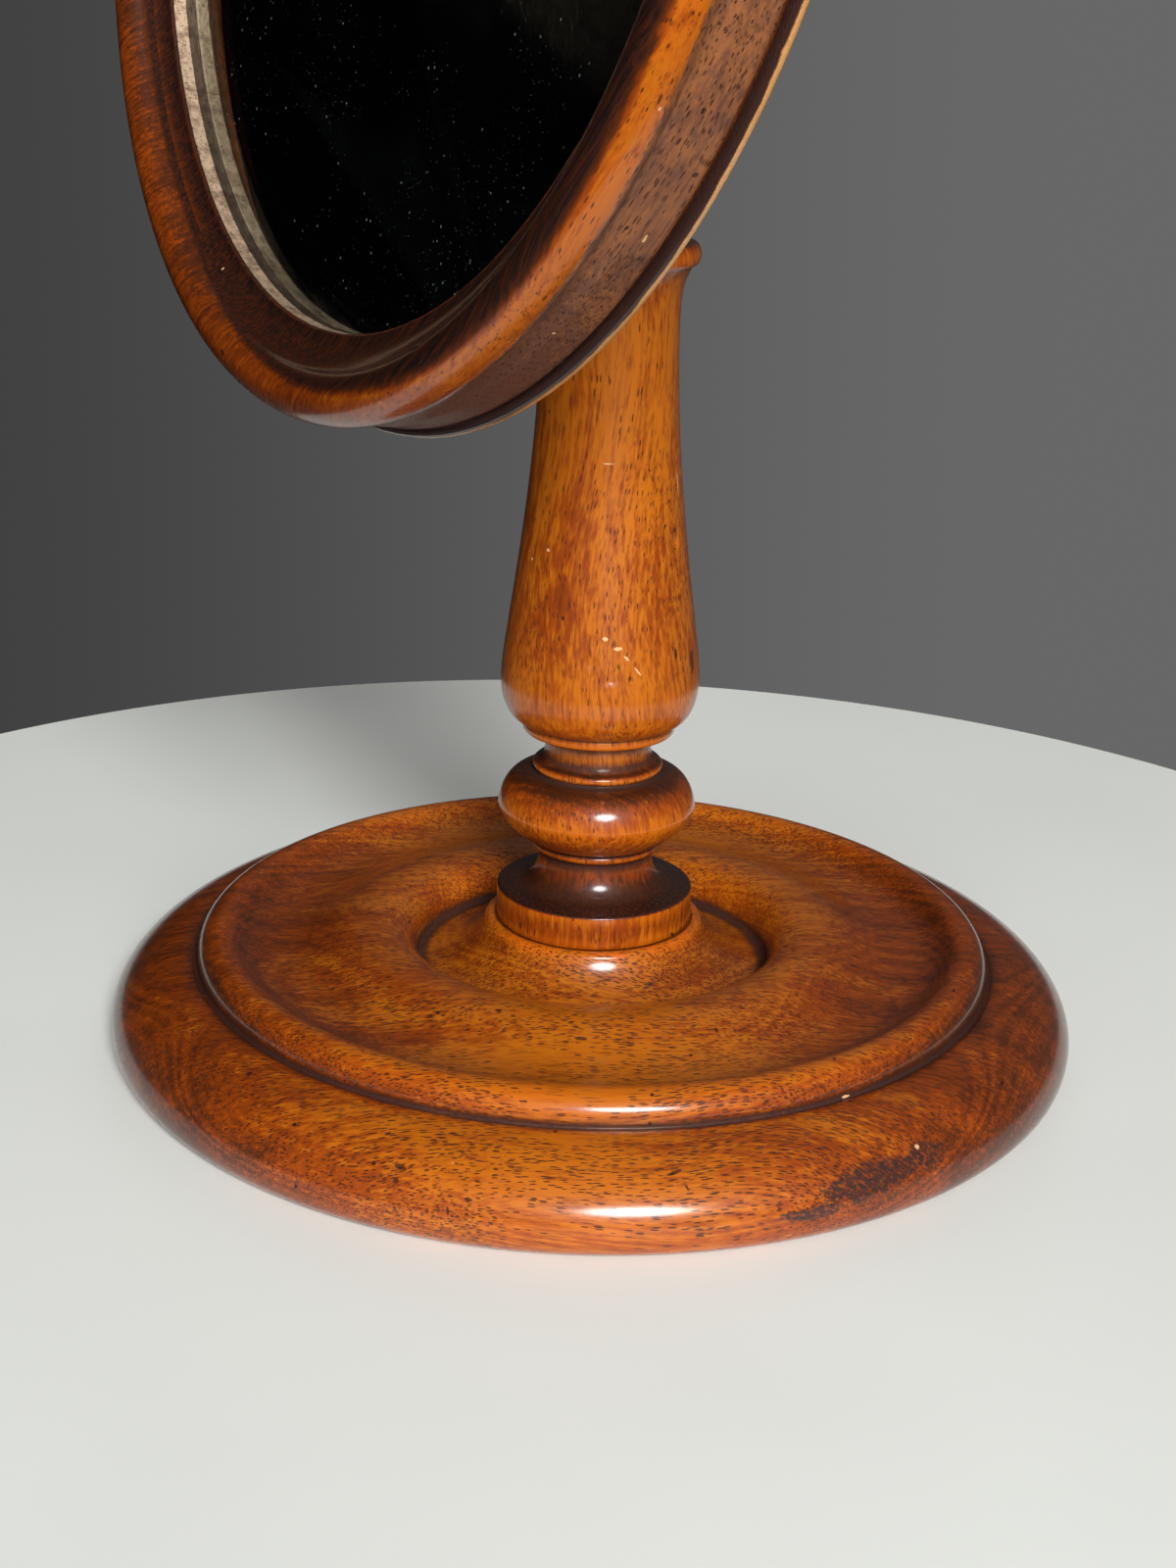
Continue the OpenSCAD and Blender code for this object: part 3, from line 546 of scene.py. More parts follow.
BRASS_CLEAN = (0.70, 0.47, 0.17)
BRASS_BROWN = (0.26, 0.15, 0.055)
STEEL_CLEAN = (0.46, 0.45, 0.43)
STEEL_RUST = (0.16, 0.09, 0.055)
brass = metal("old_brass", BRASS_CLEAN, BRASS_BROWN, tarnish=0.62, rough=0.24, grain=(2, 2, 18))
steel = metal("old_steel", STEEL_CLEAN, STEEL_RUST, tarnish=0.55, rough=0.34)
leather = dull("greased_leather", (0.10, 0.045, 0.02), (0.20, 0.10, 0.05), 1.6, 0.55, 0.1)
fibre_red = dull("red_fibre", (0.11, 0.03, 0.02), (0.17, 0.05, 0.03), 2.2, 0.6, 0.03)
baize = dull("green_baize", (0.012, 0.07, 0.022), (0.035, 0.14, 0.05), 1.7, 0.92, 0.3, sheen=0.4)
pine = dull("raw_pine", (0.52, 0.36, 0.19), (0.66, 0.49, 0.29), 0.9, 0.7, 0.1, (0.05, 1, 1))
card = dull("brown_card", (0.36, 0.26, 0.15), (0.44, 0.33, 0.20), 0.9, 0.85, 0.05)
print("metals and small materials made")

# %% [markdown]
# Glass, silvering and the slip.
#
# The mirror is real: clear glass 3.5 mm thick stands in front of a metal coat, so the coat is seen
# through the glass. Dust lies on the glass as small dull specks in drifts, mixed in as a second
# shader. The slip between glass and frame is silvered and speckled.

# %% Glass, silvering and slip
def old_glass():
    """Clear greenish glass, with dull dust where either of two sizes of speck lies."""
    finish = Finish("old_plate_glass", Base_Color=(0.93, 0.985, 0.955, 1.0), Roughness=0.0,
                    IOR=1.52, Transmission_Weight=1.0)
    place = finish.places()
    drift = finish.noise(place, even(0.03), 3.0, 0.6).between(0.40, 0.62)
    specks = finish.flecks(place, even(0.5), 0.13, 0.5 * drift)
    fine = finish.flecks(finish.turned(place, (30, 40, 50)), even(1.3), 0.15, 0.4 * drift)
    dust = finish.add("ShaderNodeBsdfPrincipled", None, {
        "Base Color": (0.30, 0.32, 0.32, 1.0), "Roughness": 0.95})
    mix = finish.add("ShaderNodeMixShader", None, {
        0: (0.5 * specks).or_more(0.35 * fine),
        1: finish.shader.outputs[0], 2: dust.outputs[0]})
    finish.tree.links.new(mix.outputs[0], finish.tree.nodes["Material Output"].inputs["Surface"])
    return finish.material


def old_silver():
    """Mirror metal with brown spots of age where two noises peak together."""
    finish = Finish("old_silvering", Metallic=1.0)
    place = finish.places()
    cloud = finish.noise(place, even(0.05), 4.0, 0.6)
    spots = finish.noise(place, even(0.45), 4.0, 0.75)
    worn = (spots + 0.3 * cloud).between(0.82, 0.92)
    finish.set("Base Color", finish.blend(worn * 0.8, (0.86, 0.88, 0.88), (0.10, 0.08, 0.06)))
    finish.set("Roughness", 0.012 + 0.4 * worn)
    return finish.material


def speckled_slip():
    """Worn silver paint, light and brown in clouds, with small dark speckles."""
    finish = Finish("speckled_slip", Metallic=0.55)
    place = finish.places()
    cloud = finish.noise(place, even(0.3), 4.0, 0.7)
    spots = finish.noise(place, even(1.6), 3.0, 0.8).between(0.50, 0.68)
    colour = finish.blend(cloud.between(0.35, 0.7), (0.76, 0.54, 0.36), (0.30, 0.19, 0.12))
    finish.set("Base Color", finish.blend(spots * 0.85, colour, (0.04, 0.025, 0.018)))
    finish.set("Roughness", 0.38 + 0.3 * cloud)
    finish.bump(0.06 * spots)
    return finish.material


plate_glass = old_glass()
silver = old_silver()
slip_silver = speckled_slip()
print("glass, silvering and slip made")

# %% [markdown]
# Giving the parts their finishes.
#
# A part that keeps its own mesh gets its material in place of the one it came with. Its edges are
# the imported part's own, so nothing of its shape changes here.

# %% Finishes of the parts that stay
FINISHES = {
    "baize_pad": baize, "tenon_wedge": pine, "collar_bush": brass, "lock_insert": brass,
    "lock_pad": leather, "lock_screw": brass, "rod": brass, "rod_guide": leather,
    "guide_screw": steel, "fork_head": brass, "cross_pin": steel, "pivot_bolt": brass,
    "fibre_washers": fibre_red, "nut_washer": steel, "wing_nut": brass, "hinge_plate": brass,
    "plate_screws": steel, "board_screws": steel, "sight_slip": slip_silver,
    "mirror_glass": plate_glass, "silvering": silver, "backing_card": card,
    "glass_blocks": pine, "back_board": back_wood}


def give_finish(node, material):
    """Put one material in place of those that the node came with."""
    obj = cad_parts[node]
    obj.data.materials.clear()
    obj.data.materials.append(material)


for node, material in FINISHES.items():
    give_finish(node, material)
print("parts with a finish:", len(FINISHES))

# %% [markdown]
# Sections and surfaces of revolution.
#
# A turned piece is one outline spun round an axis. The outline is a chain of curves: cubic curves
# for sweeps and coves, arcs for beads. The same chain says where dirt gathers and where hands rub:
# a hollow is where the outline turns in within a few millimetres, and an edge where it turns out.

# %% Curves
SAME_POINT = 1e-6


def bend(a, b, c, d, count=18):
    """Cubic curve: (1-t)^3 a + 3(1-t)^2 t b + 3(1-t) t^2 c + t^3 d, without its first point."""
    t = np.linspace(0, 1, count + 1)[1:, None]
    a, b, c, d = (np.array(p, float) for p in (a, b, c, d))
    return (1 - t) ** 3 * a + 3 * (1 - t) ** 2 * t * b + 3 * (1 - t) * t ** 2 * c + t ** 3 * d


def arc(centre, radius, start, stop, count=16):
    """Arc: centre plus radius times (cos a, sin a), with a from start to stop in degrees."""
    a = np.radians(np.linspace(start, stop, count + 1))
    return np.array(centre, float) + radius * np.stack([np.cos(a), np.sin(a)], axis=1)


def filled(points, longest):
    """The closed outline with points added so that no step is longer than longest."""
    steps = np.roll(points, -1, axis=0) - points
    chain = []
    for point, step in zip(points, steps):
        length = np.linalg.norm(step)
        if length > SAME_POINT:
            count = math.ceil(length / longest)
            chain.extend(point + step * k / count for k in range(count))
    return np.array(chain)


def turning(outline, reach):
    """Angle that a closed outline turns within reach of each point.

    Each corner counts 1 - gap / reach, with the gap measured along the outline.
    """
    step = np.roll(outline, -1, axis=0) - outline
    length = np.linalg.norm(step, axis=1)
    heading = np.arctan2(step[:, 1], step[:, 0])
    corner = heading - np.roll(heading, 1)
    corner = (corner + math.pi) % (2 * math.pi) - math.pi
    along = np.concatenate([[0], np.cumsum(length)])
    around = along[-1]
    gap = np.abs(along[:-1, None] - along[None, :-1])
    gap = np.minimum(gap, around - gap)
    return (np.clip(1 - gap / reach, 0, 1) * corner[None, :]).sum(axis=1)


print("points in a cubic curve:", len(bend((0, 0), (0, 1), (1, 1), (1, 0))))

# %% [markdown]
# Blender's Screw modifier could spin the outline as well. Here numpy does it, because the same
# arrays also sink the surface at its dents and give each point its end grain, stain and wear.

# %% The lathe
HOLLOW_REACH, HOLLOW_GAIN = 2.4, 1.2
RUBBED_REACH, RUBBED_GAIN = 2.6, 0.9
OUT_OF_ROUND_TURN = 0.7


def lathe(name, outline, sides, material, grain, place=None, stain_and_shade=None, faded=None, dents=(),
          shrink=0.04):
    """Closed outline of radius and height in mm, spun round Z.

    The point at outline step i and turn a is (r cos a, r sin a, z). Old wood has shrunk out of
    round, so the surface sinks by shrink (1 + cos(2a + 0.7)) / 2 along its normal, and each dent
    (turn, radius, height, size, depth) sinks it by depth exp(-(distance / size)^2). place stands
    the finished piece up. stain_and_shade and faded are functions that give those two layers; the
    first holds dark stain together with painted shade, and on the frame a painted highlight.
    """
    step = np.roll(outline, -1, axis=0) - np.roll(outline, 1, axis=0)
    step /= np.linalg.norm(step, axis=1)[:, None]
    after = np.roll(outline, -1, axis=0)
    way = math.copysign(1, np.sum(outline[:, 0] * after[:, 1] - after[:, 0] * outline[:, 1]))
    out = way * np.stack([step[:, 1], -step[:, 0]], axis=1)[:, None, :]
    turn = np.linspace(0, 2 * math.pi, sides, endpoint=False)[None, :]
    spin = np.stack([np.cos(turn), np.sin(turn), 0 * turn], axis=2)
    lift = np.array([0.0, 0.0, 1.0])
    points = outline[:, None, :1] * spin + outline[:, None, 1:] * lift
    normals = out[..., :1] * spin + out[..., 1:] * lift
    sink = shrink * (1 + np.cos(2 * turn + OUT_OF_ROUND_TURN)) / 2 * np.ones((len(outline), 1))
    for at, radius, height, size, depth in dents:
        centre = (radius * math.cos(math.radians(at)), radius * math.sin(math.radians(at)), height)
        sink = sink + depth * np.exp(-((points - centre) ** 2).sum(axis=2) / size ** 2)
    # This layer holds dark stain together with painted shade and a painted highlight.
    stain_and_shade_values = np.zeros(sink.shape) if stain_and_shade is None else stain_and_shade(points, normals)
    points = ((points - sink[..., None] * normals) * MM).reshape(-1, 3)
    if place is not None:
        points = points @ np.array(place.to_3x3()).T + np.array(place.translation)
    i, j = np.meshgrid(np.arange(len(outline)), np.arange(sides), indexing="ij")
    ahead, beside = (i + 1) % len(outline), (j + 1) % sides
    quads = np.stack([i * sides + j, i * sides + beside, ahead * sides + beside, ahead * sides + j],
                     axis=2).reshape(-1, 4)[:, ::int(way)]
    mesh = bpy.data.meshes.new(name)
    mesh.from_pydata(points.tolist(), [], quads.tolist())
    mesh.polygons.foreach_set("use_smooth", np.ones(len(quads), bool))
    turned_in = -way * turning(outline, HOLLOW_REACH)
    turned_out = way * turning(outline, RUBBED_REACH)
    gone = 0 * outline[:, 0] if faded is None else faded(outline)
    each = np.ones((1, sides))
    layers = {
        "hollow": np.clip(HOLLOW_GAIN * turned_in, 0, 1)[:, None] * each,
        "rubbed": np.clip(RUBBED_GAIN * turned_out, 0, 1)[:, None] * each,
        "end_grain": np.abs(normals @ np.array(grain, float)),
        "stain_and_shade": stain_and_shade_values,
        "faded": gone[:, None] * each}
    for label, values in layers.items():
        layer = mesh.attributes.new(label, "FLOAT", "POINT")
        layer.data.foreach_set("value", values.reshape(-1).astype(np.float32))
    mesh.materials.append(material)
    mesh.update()
    obj = bpy.data.objects.new(name, mesh)
    bpy.context.scene.collection.objects.link(obj)
    print(name, "faces:", len(quads), "outline points:", len(outline))
    return obj


print("layers on each turned piece: hollow, rubbed, end_grain, deep, faded")

# %% [markdown]
# The base.
#
# From the table up and inward: the full roll at the edge, a groove, the bead round the dish, the
# dish itself, its crown, the well, and the boss that carries the column.

# %% Base
BASE_R = 100.0
DISC_R = 20.3
SEAT_Z = 24.1
BASE_LEAST = 9.55
BAIZE_DEEP = 1.0


def base_outline():
    """Outline from the bore out over the boss, well, crown, dish, bead and roll to the baize."""
    groove_r = BASE_R - 16.8 - 0.9
    groove_z = 16.4
    bead_r = 4.7
    bead = np.array([groove_r - bead_r - 0.1, 22.7 - bead_r])
    rim_in = arc(bead, bead_r, 128, 128, 1)[0]
    lip_r = 1.6
    lip = np.array([DISC_R + 0.4 + lip_r * math.cos(math.radians(72)), SEAT_Z + 0.4 - lip_r])
    boss_side = arc(lip, lip_r, 20, 20, 1)[0]
    crown = np.array([46.5, 22.9])
    low = np.array([(crown[0] + bead[0] + 2) / 2 + 3, 18.7])
    well = np.array([36.3, 14.8])
    well_wall = well + [0.6, 0.9]
    roll_in = np.array([groove_r + 0.9, groove_z + 0.7])
    edge_z = 5
    foot_r = BASE_R - 3.7
    baize_r = foot_r - 8.3
    return np.vstack([
        [[BASE_LEAST, BAIZE_DEEP], [BASE_LEAST, SEAT_Z], [DISC_R + 0.4, SEAT_Z]],
        arc(lip, lip_r, 108, 20),
        bend(boss_side, boss_side + [0.9, -2.6], [26.8, 16.0], [35.5, well[1]], 30),
        [well, well_wall],
        bend(well_wall, [37.0, 20.5], [40.1, crown[1]], crown),
        bend(crown, crown + [7.5, 0], low - [9, 0], low),
        bend(low, low + [5.5, 0], rim_in - [1.7, 1.4], rim_in),
        arc(bead, bead_r, 122, -8),
        [[groove_r, groove_z], roll_in],
        bend(roll_in, roll_in + [7.5, 0.3], [BASE_R, 12], [BASE_R, edge_z], 40),
        bend([BASE_R, edge_z], [BASE_R, 2.1], [foot_r + 2.1, 0.3], [foot_r, 0]),
        [[baize_r, 0], [baize_r, BAIZE_DEEP]]])


BASE_DENTS = (
    (-42, 93, 14.2, 1.2, 0.5), (-40, 96, 12.2, 0.9, 0.4), (-75, 90, 15.6, 0.8, 0.4),
    (-118, 92, 14.8, 1.0, 0.4), (12, 95, 13.0, 1.6, 0.35), (150, 94, 13.5, 1.4, 0.4),
    (85, 97, 10.0, 1.1, 0.5), (-20, 60, 20.0, 0.7, 0.25), (-66, 74, 21.6, 0.9, 0.2),
    (-150, 97, 9.0, 1.5, 0.45), (40, 55, 21.5, 0.8, 0.25))
ALONG_BASE = (math.cos(math.radians(GRAIN_OF_BASE)), math.sin(math.radians(GRAIN_OF_BASE)), 0)


def stain_and_shade_of_base(points, normals):
    """Darker toward both ends of the grain, which run to the left and right of the base as the
    camera sees it: painted shade where the light falls off, 0.8 (distance / 85)^1.8, up to 0.62.

    It is darker low on the outer edge too, and a soft band on both sides of the groove is darker.
    """
    far, at_far, power, most = 85, 0.8, 1.8, 0.62
    groove_r, band_width = 83, 2.2
    outer_r, low_z = 92, 12
    along = np.abs(points @ np.array(ALONG_BASE))
    reach = np.hypot(points[..., 0], points[..., 1])
    low = np.clip((low_z - points[..., 2]) / low_z, 0, 1) * (reach > outer_r)
    band = np.exp(-((reach - groove_r) / band_width) ** 2)
    # The first term is painted shade: darker toward the left and right as the camera sees the base.
    return np.minimum(at_far * (along / far) ** power, most) + 0.3 * low + 0.35 * band


base = lathe("base_turned", filled(base_outline(), longest=1.6), sides=400, material=base_wood,
             grain=ALONG_BASE, stain_and_shade=stain_and_shade_of_base, dents=BASE_DENTS)
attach(base, "stand")
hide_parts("base")

# %% [markdown]
# The column.
#
# One turning from tenon to collar: disc, cove, ring, bulb, ring, neck, vase, waist, flare and
# bead. Its bore is open for the rod, and closes low down.

# %% Column
def column_outline():
    """Outline from the tenon up the outside to the collar, and down the bore."""
    disc_top = SEAT_Z + 7.3
    ring_z = disc_top + 8.4
    bulb_z = ring_z + 1.9
    bulb_top = bulb_z + 15
    neck_z = bulb_top + 1.9
    vase_z = neck_z + 6.4
    foot_z = vase_z + 1.9
    shoulder_z = vase_z + 11.2
    waist_z = shoulder_z + 72
    collar_z = waist_z + 10.2
    top = collar_z + 4.6
    side = np.array([20.3, bulb_z + 7.5])
    middle = 0.05
    tenon_r, tenon_z = 9.5, 2.8
    ring_r, ring_bead = 12.35, 0.95
    vase_r, waist_r = 20.1, 13.4
    bush_r, bush_z = 7.6, 129
    bore_r, bore_z = 6.6, 34.8
    return np.vstack([
        [[middle, tenon_z], [tenon_r, tenon_z], [tenon_r, SEAT_Z]],
        [[19.8, SEAT_Z], [DISC_R, SEAT_Z + 0.5]],
        [[DISC_R, disc_top - 0.7]],
        bend([DISC_R, disc_top - 0.7], [DISC_R, disc_top - 0.1], [19.9, disc_top],
             [19.1, disc_top + 0.1], 8),
        bend([15.9, disc_top + 0.5], [13.6, disc_top + 0.8], [11.7, disc_top + 3.4],
             [11.7, ring_z - 1.4]),
        [[11.7, ring_z - 0.4]],
        arc([ring_r, ring_z + ring_bead], ring_bead, -75, 70, 10),
        bend([12.9, bulb_z], [15.7, bulb_z + 0.8], side - [0.4, 3.4], side),
        bend(side, side + [-0.3, 2.7], [18.7, bulb_top - 1.9], [16.2, bulb_top - 1]),
        [[12.8, bulb_top - 0.1]],
        arc([ring_r, bulb_top + ring_bead], ring_bead, -60, 75, 10),
        bend([12.4, neck_z], [11.5, neck_z + 0.1], [11.0, neck_z + 1], [10.8, neck_z + 2.8], 12),
        [[10.8, vase_z - 0.8], [11.4, vase_z], [15.1, vase_z], [15.4, vase_z + 0.3]],
        [[15.4, foot_z - 0.3], [15.0, foot_z + 0.2]],
        bend([16.0, foot_z + 0.3], [18.6, foot_z + 1.3], [vase_r, foot_z + 4.6],
             [vase_r, shoulder_z]),
        bend([vase_r, shoulder_z], [vase_r, shoulder_z + 7.9], [waist_r, waist_z - 33.8],
             [waist_r, waist_z], 90),
        bend([waist_r, waist_z], [waist_r, waist_z + 6.5], [14.6, collar_z - 1.6],
             [15.6, collar_z]),
        bend([15.6, collar_z], [17.5, collar_z], [17.5, top - 0.2], [15.2, top]),
        [[bush_r, top], [bush_r, bush_z], [bore_r, bush_z], [bore_r, bore_z], [middle, bore_z]]])


COLUMN_DENTS = (
    (-36, 19.6, 84, 0.7, 0.4), (-25, 19.6, 81, 0.8, 0.45), (28, 16.2, 106, 0.8, 1.2),
    (-52, 18.2, 95, 0.5, 0.2), (140, 18, 98, 1.0, 0.3), (-160, 20.2, 48, 1.0, 0.3))


def deep_column(points, normals):
    """End grain that looks up drinks most stain: the slope to the power 1.5.

    The foot is darkest, the lower vase a little darker than the upper, and the collar darker again.
    """
    foot_top, foot_ramp = 44, 6
    low_top, low_ramp = 118, 25
    collar_z = 158
    height = points[..., 2]
    foot = np.clip((foot_top - height) / foot_ramp, 0, 1)
    low = np.clip((low_top - height) / low_ramp, 0, 1)
    slope = np.clip(normals[..., 2], 0, 1) ** 1.5
    return (0.9 + 0.5 * foot) * slope + 0.32 * foot + 0.12 * low + 0.3 * (height > collar_z)


column = lathe("column_turned", filled(column_outline(), longest=1.4), sides=160,
               material=column_wood, grain=(0, 0, 1), stain_and_shade=deep_column, dents=COLUMN_DENTS)
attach(column, "stand")
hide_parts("column")

# %% [markdown]
# The mirror's frame.
#
# The frame is turned flat on a faceplate, so its outline is drawn round the mirror's own axis and
# then stood up: turned to face forward, leaned back, and lifted to the hinge.

# %% Mirror frame
ROLL = (114.1, 47.9)
ROLL_R = 5
QUIRK_AT = 152
SIGHT_R = 102.7
LEANING = Matrix.Translation((0, 0, HINGE_Z * MM)) @ Matrix.Rotation(UPRIGHT, 4, "X")


def frame_outline():
    """Outline from the sight edge over cove, quirk, roll and side wall to the back and rebate."""
    roll = np.array(ROLL)
    quirk = arc(roll, ROLL_R, QUIRK_AT, QUIRK_AT, 1)[0]
    cove_end = quirk - [0.5, 0.9]
    roll_stop = -34
    roll_end = arc(roll, ROLL_R, roll_stop, roll_stop, 1)[0]
    side_r = 118.2
    wall_top = np.array([side_r, roll_end[1] - 4.2])
    back = 33.26
    sight_z = 45.2
    rebate_r, rebate_z = 103.9, 42.5
    back_r = 107.0
    return np.vstack([
        [[SIGHT_R, sight_z], [SIGHT_R, 45.7], [103.0, 46.0]],
        bend([103.0, 46.0], [105.3, 46.1], cove_end - [2, 1.9], cove_end),
        arc(roll, ROLL_R, QUIRK_AT, roll_stop, 48),
        bend(roll_end, roll_end - [0.9, 0.9], wall_top + [-0.8, 1.8], wall_top),
        [[side_r, back + 1.4], [side_r - 1.2, back + 0.3], [side_r - 1.6, back]],
        [[back_r, back], [back_r, rebate_z], [rebate_r, rebate_z], [rebate_r, sight_z]]])


FRAME_DENTS = (
    (-63, 110.5, 51.5, 0.9, 0.5), (-12, 117.6, 44.5, 1.0, 0.6), (-30, 116.0, 52.0, 0.7, 0.3),
    (-100, 117.5, 51.0, 0.8, 0.3), (60, 116.5, 51.8, 0.9, 0.4), (170, 117.9, 47.0, 1.2, 0.4))


WALL_R = 115.5
WALL_TOP, WALL_RAMP = 48.4, 4.0


def side_wall(outline):
    """1 on the side wall, where the polish has gone, and 0 on the roll, with a ramp 4 mm high."""
    return (outline[:, 0] > WALL_R) * np.clip((WALL_TOP - outline[:, 1]) / WALL_RAMP, 0, 1)


def stain_and_shade_of_frame(points, normals):
    """Black on the cove and over the inner side of the roll, up to an edge that wanders.

    The black is partly the wood's own stain and partly painted shade, where the roll keeps the
    light off the cove. From turn -52 to -22, at the lower right of the mirror, the edge stands 50
    degrees round the roll. It moves in by 140 over the next 70 degrees of turning both ways, where
    the roll gets browner instead. Past the quirk each millimetre of the cove counts as 10 degrees
    more. The side wall is darker low on the mirror, as painted shade, and one thin line on the roll
    at the lower right is a painted highlight.
    """
    unworn_from, unworn_to, wear_span = -52, -22, 70
    edge_unworn, edge_moves, edge_ramp = 50, 140, 36
    cove_r, per_mm, cove_wide = 109.7, 10, 7
    lip_r, lip_ramp = 102.9, 0.3
    glint_r, glint_width, glint_z = 111.3, 0.8, 50
    reach = np.hypot(points[..., 0], points[..., 1])
    turn = np.degrees(np.arctan2(points[..., 1], points[..., 0]))
    height = points[..., 2]
    facing = np.degrees(np.arctan2(height - ROLL[1], reach - ROLL[0]))
    facing = np.where((facing < 0) & (reach < ROLL[0]), QUIRK_AT, facing)
    facing = facing + per_mm * np.clip(cove_r - reach, 0, cove_wide)
    worn = np.clip(np.maximum(unworn_from - turn, turn - unworn_to) / wear_span, 0, 1)
    edge = edge_unworn + edge_moves * worn
    # Black on the cove and inner roll: partly the wood's own stain, partly painted shade where the
    # roll keeps the light off the cove.
    stain = np.clip((facing - edge) / edge_ramp + 0.4, 0, 1)
    stain = stain * np.clip((reach - lip_r) / lip_ramp, 0.35, 1)
    # A thin line along the roll is painted lighter: a painted highlight.
    painted_glint = np.exp(-((reach - glint_r) / glint_width) ** 2) * (height > glint_z) * (edge < 80)
    shade = 0.08 + 0.52 * np.clip(2.2 * worn, 0, 1) + 0.16 * worn
    # Painted shade: the side wall is darker low on the mirror, where it turns from the light.
    wall = 0.35 * np.clip((-turn - 48) / 12, 0, 1) * (reach > WALL_R) * (height < 48)
    return (shade + wall + 2.1 * stain - 0.5 * painted_glint) * (height > 34)


rim = lathe("mirror_frame_turned", filled(frame_outline(), longest=0.9), sides=480,
            material=frame_wood, grain=(0.64, 0.77, 0), place=LEANING, stain_and_shade=stain_and_shade_of_frame,
            faded=side_wall, dents=FRAME_DENTS, shrink=0.08)
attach(rim, "mirror")
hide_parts("mirror_frame")

# %% [markdown]
# The floor.
#
# The mirror stands on a plain pale round table top, which belongs to the stage and not to the part.

# %% Floor
FLOOR_RADIUS = 0.2395
FLOOR_MIDDLE = (-0.0112, 0.0018, -0.0002)
FLOOR_EDGE = 0.003
FLOOR_THICK = 0.02
FLOOR_SIDES = 240
FLOOR_COLOURS = ((0.86, 0.88, 0.835), (0.91, 0.93, 0.88))


def make_floor():
    """Pale round table top: a disc with a softly rounded edge."""
    finish = Finish("pale_floor", Roughness=0.5)
    place = finish.places()
    cloud = finish.noise(place, even(0.006), 3.0)
    finish.set("Base Color", finish.blend(cloud.between(0.3, 0.7), *FLOOR_COLOURS))
    turn = np.linspace(0, 2 * math.pi, FLOOR_SIDES, endpoint=False)
    rings = ((FLOOR_RADIUS, -FLOOR_THICK), (FLOOR_RADIUS, -FLOOR_EDGE),
             (FLOOR_RADIUS - FLOOR_EDGE, 0.0))
    points = [(r * math.cos(a), r * math.sin(a), z) for r, z in rings for a in turn]
    n = len(turn)
    faces = [(k * n + j, k * n + (j + 1) % n, (k + 1) * n + (j + 1) % n, (k + 1) * n + j)
             for k in (0, 1) for j in range(n)]
    faces.append(tuple(range(2 * n, 3 * n)))
    mesh = bpy.data.meshes.new("floor")
    mesh.from_pydata(points, [], faces)
    mesh.materials.append(finish.material)
    obj = bpy.data.objects.new("floor", mesh)
    bpy.context.scene.collection.objects.link(obj)
    obj.location = FLOOR_MIDDLE


make_floor()
print("floor across in mm:", round(2 * FLOOR_RADIUS / MM))

# %% [markdown]
# The dark card.
#
# A mirror shows what stands in front of it. A photographer puts a dark card there, so that the
# glass looks deep, and this one is seen only in reflections.

# %% Dark card
CARD_COLOUR = (0.001, 0.001, 0.0015, 1.0)
CARD_TOWARDS = Vector((-0.897, -0.384, 0.218)).normalized()
CARD_AWAY = 1.5
CARD_HALF_WIDTH, CARD_HALF_HEIGHT = 1.1, 1.0
MIRROR_MIDDLE = Vector((0, -0.05, 0.25))


def make_card():
    """Square card that faces the mirror, left out of everything but reflections."""
    finish = Finish("dark_card", Base_Color=CARD_COLOUR, Roughness=1.0, Specular_IOR_Level=0.0)
    centre = MIRROR_MIDDLE + CARD_TOWARDS * CARD_AWAY
    side = CARD_TOWARDS.cross(Vector((0, 0, 1))).normalized() * CARD_HALF_WIDTH
    up = side.cross(CARD_TOWARDS).normalized() * CARD_HALF_HEIGHT
    mesh = bpy.data.meshes.new("card")
    corners = [centre - side - up, centre + side - up, centre + side + up, centre - side + up]
    mesh.from_pydata(corners, [], [(0, 1, 2, 3)])
    mesh.materials.append(finish.material)
    obj = bpy.data.objects.new("card", mesh)
    bpy.context.scene.collection.objects.link(obj)
    obj.visible_camera = False
    obj.visible_diffuse = False
    obj.visible_shadow = False


make_card()
print("card away in m:", CARD_AWAY)

# %% [markdown]
# The lights.
#
# One soft box a little above and to the right of the camera makes the small bright lights on every
# bead. Four weaker fills lift the shadows: low in front, at the left, behind and above. Polish and
# glass don't reflect the fills, because the photograph shows only one light in them.

# %% Lights
LIT_POINT = Vector((0, 0, 0.1))


def make_light(name, direction, distance, width, height, power, shows=True):
    """Oval lamp that faces the middle of the object; shows says if polish and glass reflect it."""
    data = bpy.data.lights.new(name, "AREA")
    data.shape = "ELLIPSE"
    data.size = width
    data.size_y = height
    data.energy = power
    lamp = bpy.data.objects.new(name, data)
    lamp.visible_glossy = shows
    bpy.context.scene.collection.objects.link(lamp)
    direction = Vector(direction).normalized()
    lamp.location = LIT_POINT + direction * distance
    lamp.rotation_euler = (-direction).to_track_quat("-Z", "Y").to_euler()


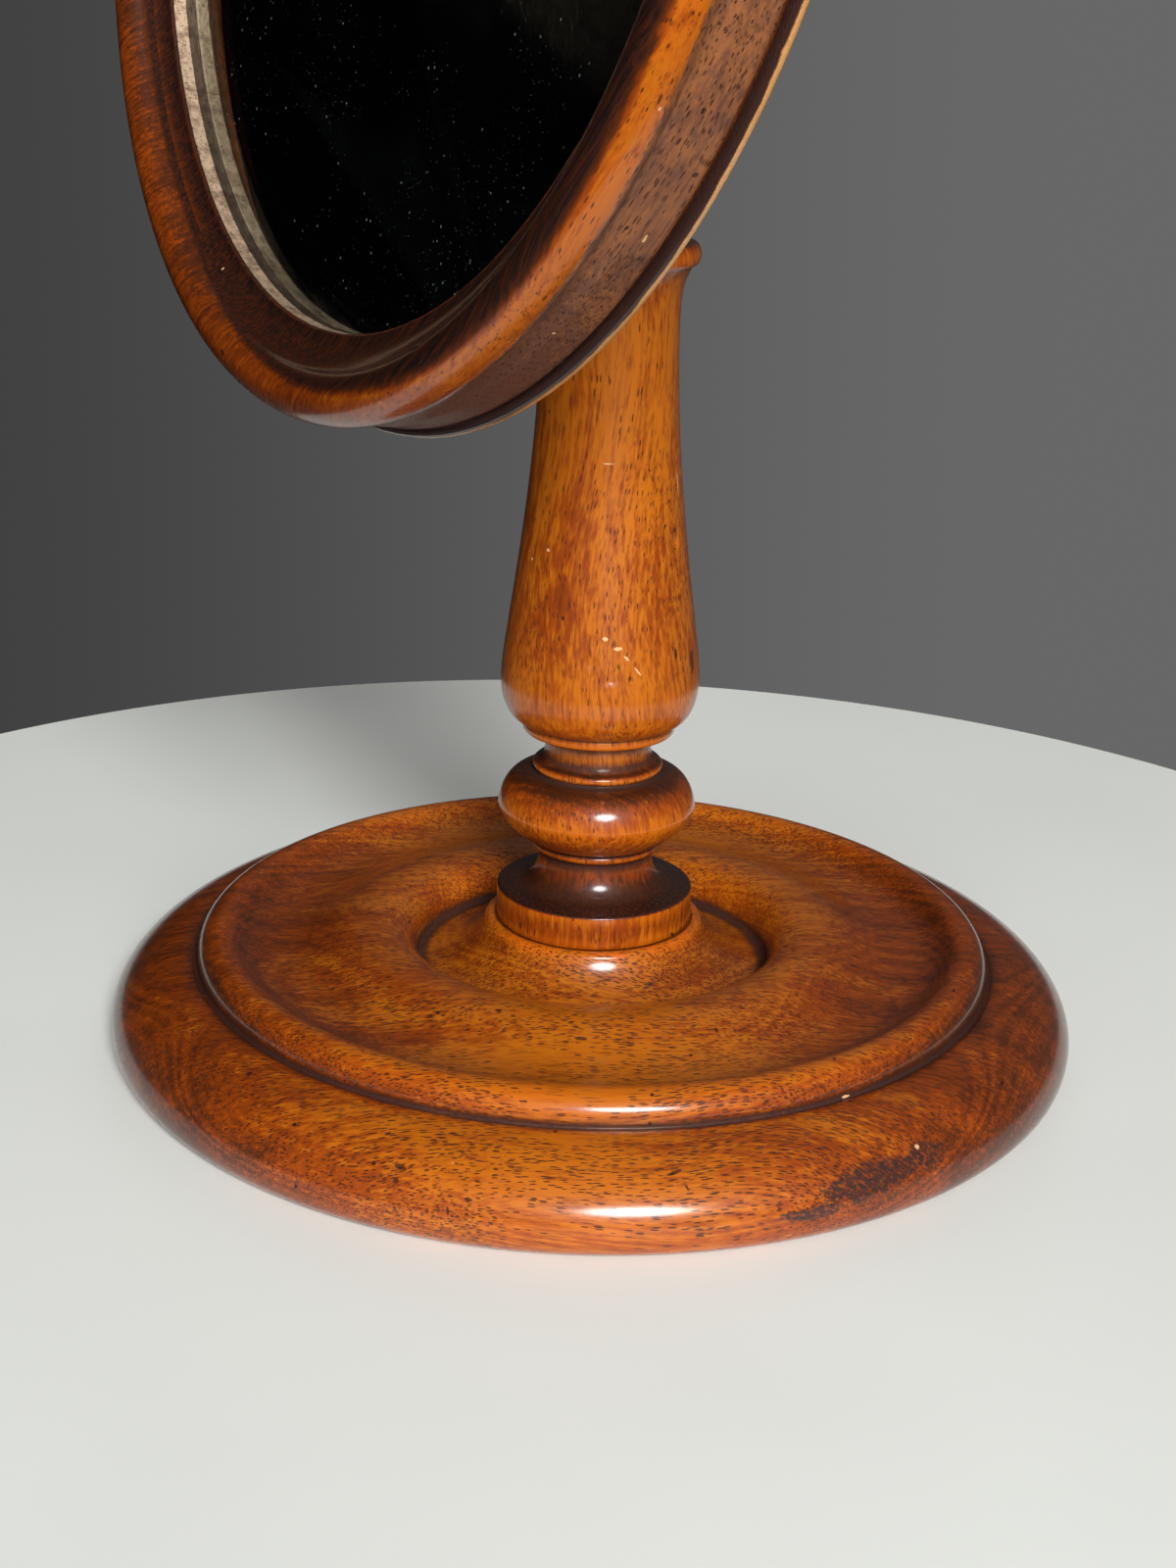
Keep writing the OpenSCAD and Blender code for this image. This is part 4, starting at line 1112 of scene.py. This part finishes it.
make_light("soft_box", (0.816, -0.286, 0.5), distance=3.0, width=1.15, height=0.9, power=102)
for name, direction, distance, across, power in (
        ("low_fill", (0.90, -0.40, 0.16), 3.0, 1.0, 30),
        ("left_fill", (0.46, -0.865, 0.22), 3.0, 1.4, 8),
        ("back_fill", (-0.72, 0.50, 0.42), 3.0, 2.0, 9),
        ("top_light", (0.1, 0.35, 1.0), 1.8, 1.6, 0.5)):
    make_light(name, direction, distance, across, across, power, shows=False)

# %% [markdown]
# The world.
#
# The photograph's wall is grey, darker at the left than at the right. A world that goes by the
# direction alone gives that without a wall to cast shadows. In polish it is dimmer, which keeps the
# reflections on the wood deep.

# %% World
GREY_LEFT, GREY_RIGHT = 0.052, 0.137
GREY_FROM, GREY_TO = -0.28, 0.20
GREY_REFLECTED = 0.35


def make_world():
    """Grey all round, darker at the camera's left, lighter at its right, and dim in reflections."""
    world = bpy.data.worlds.new("studio")
    world.use_nodes = True
    tree = world.node_tree
    direction = tree.nodes.new("ShaderNodeTexCoord").outputs["Generated"]
    rightward = tree.nodes.new("ShaderNodeVectorMath")
    rightward.operation = "DOT_PRODUCT"
    rightward.inputs[1].default_value = RIGHTWARD
    tree.links.new(direction, rightward.inputs[0])
    grey = tree.nodes.new("ShaderNodeMapRange")
    grey.interpolation_type = "SMOOTHSTEP"
    for socket, value in (("From Min", GREY_FROM), ("From Max", GREY_TO),
                          ("To Min", GREY_LEFT), ("To Max", GREY_RIGHT)):
        grey.inputs[socket].default_value = value
    tree.links.new(rightward.outputs["Value"], grey.inputs["Value"])
    dim = tree.nodes.new("ShaderNodeMapRange")
    dim.inputs["To Min"].default_value = 1.0
    dim.inputs["To Max"].default_value = GREY_REFLECTED
    path = tree.nodes.new("ShaderNodeLightPath")
    tree.links.new(path.outputs["Is Glossy Ray"], dim.inputs["Value"])
    background = tree.nodes["Background"]
    tree.links.new(grey.outputs["Result"], background.inputs["Color"])
    tree.links.new(dim.outputs["Result"], background.inputs["Strength"])
    bpy.context.scene.world = world


make_world()
bpy.context.scene.view_settings.view_transform = "Standard"
print("world grey from", GREY_LEFT, "to", GREY_RIGHT)
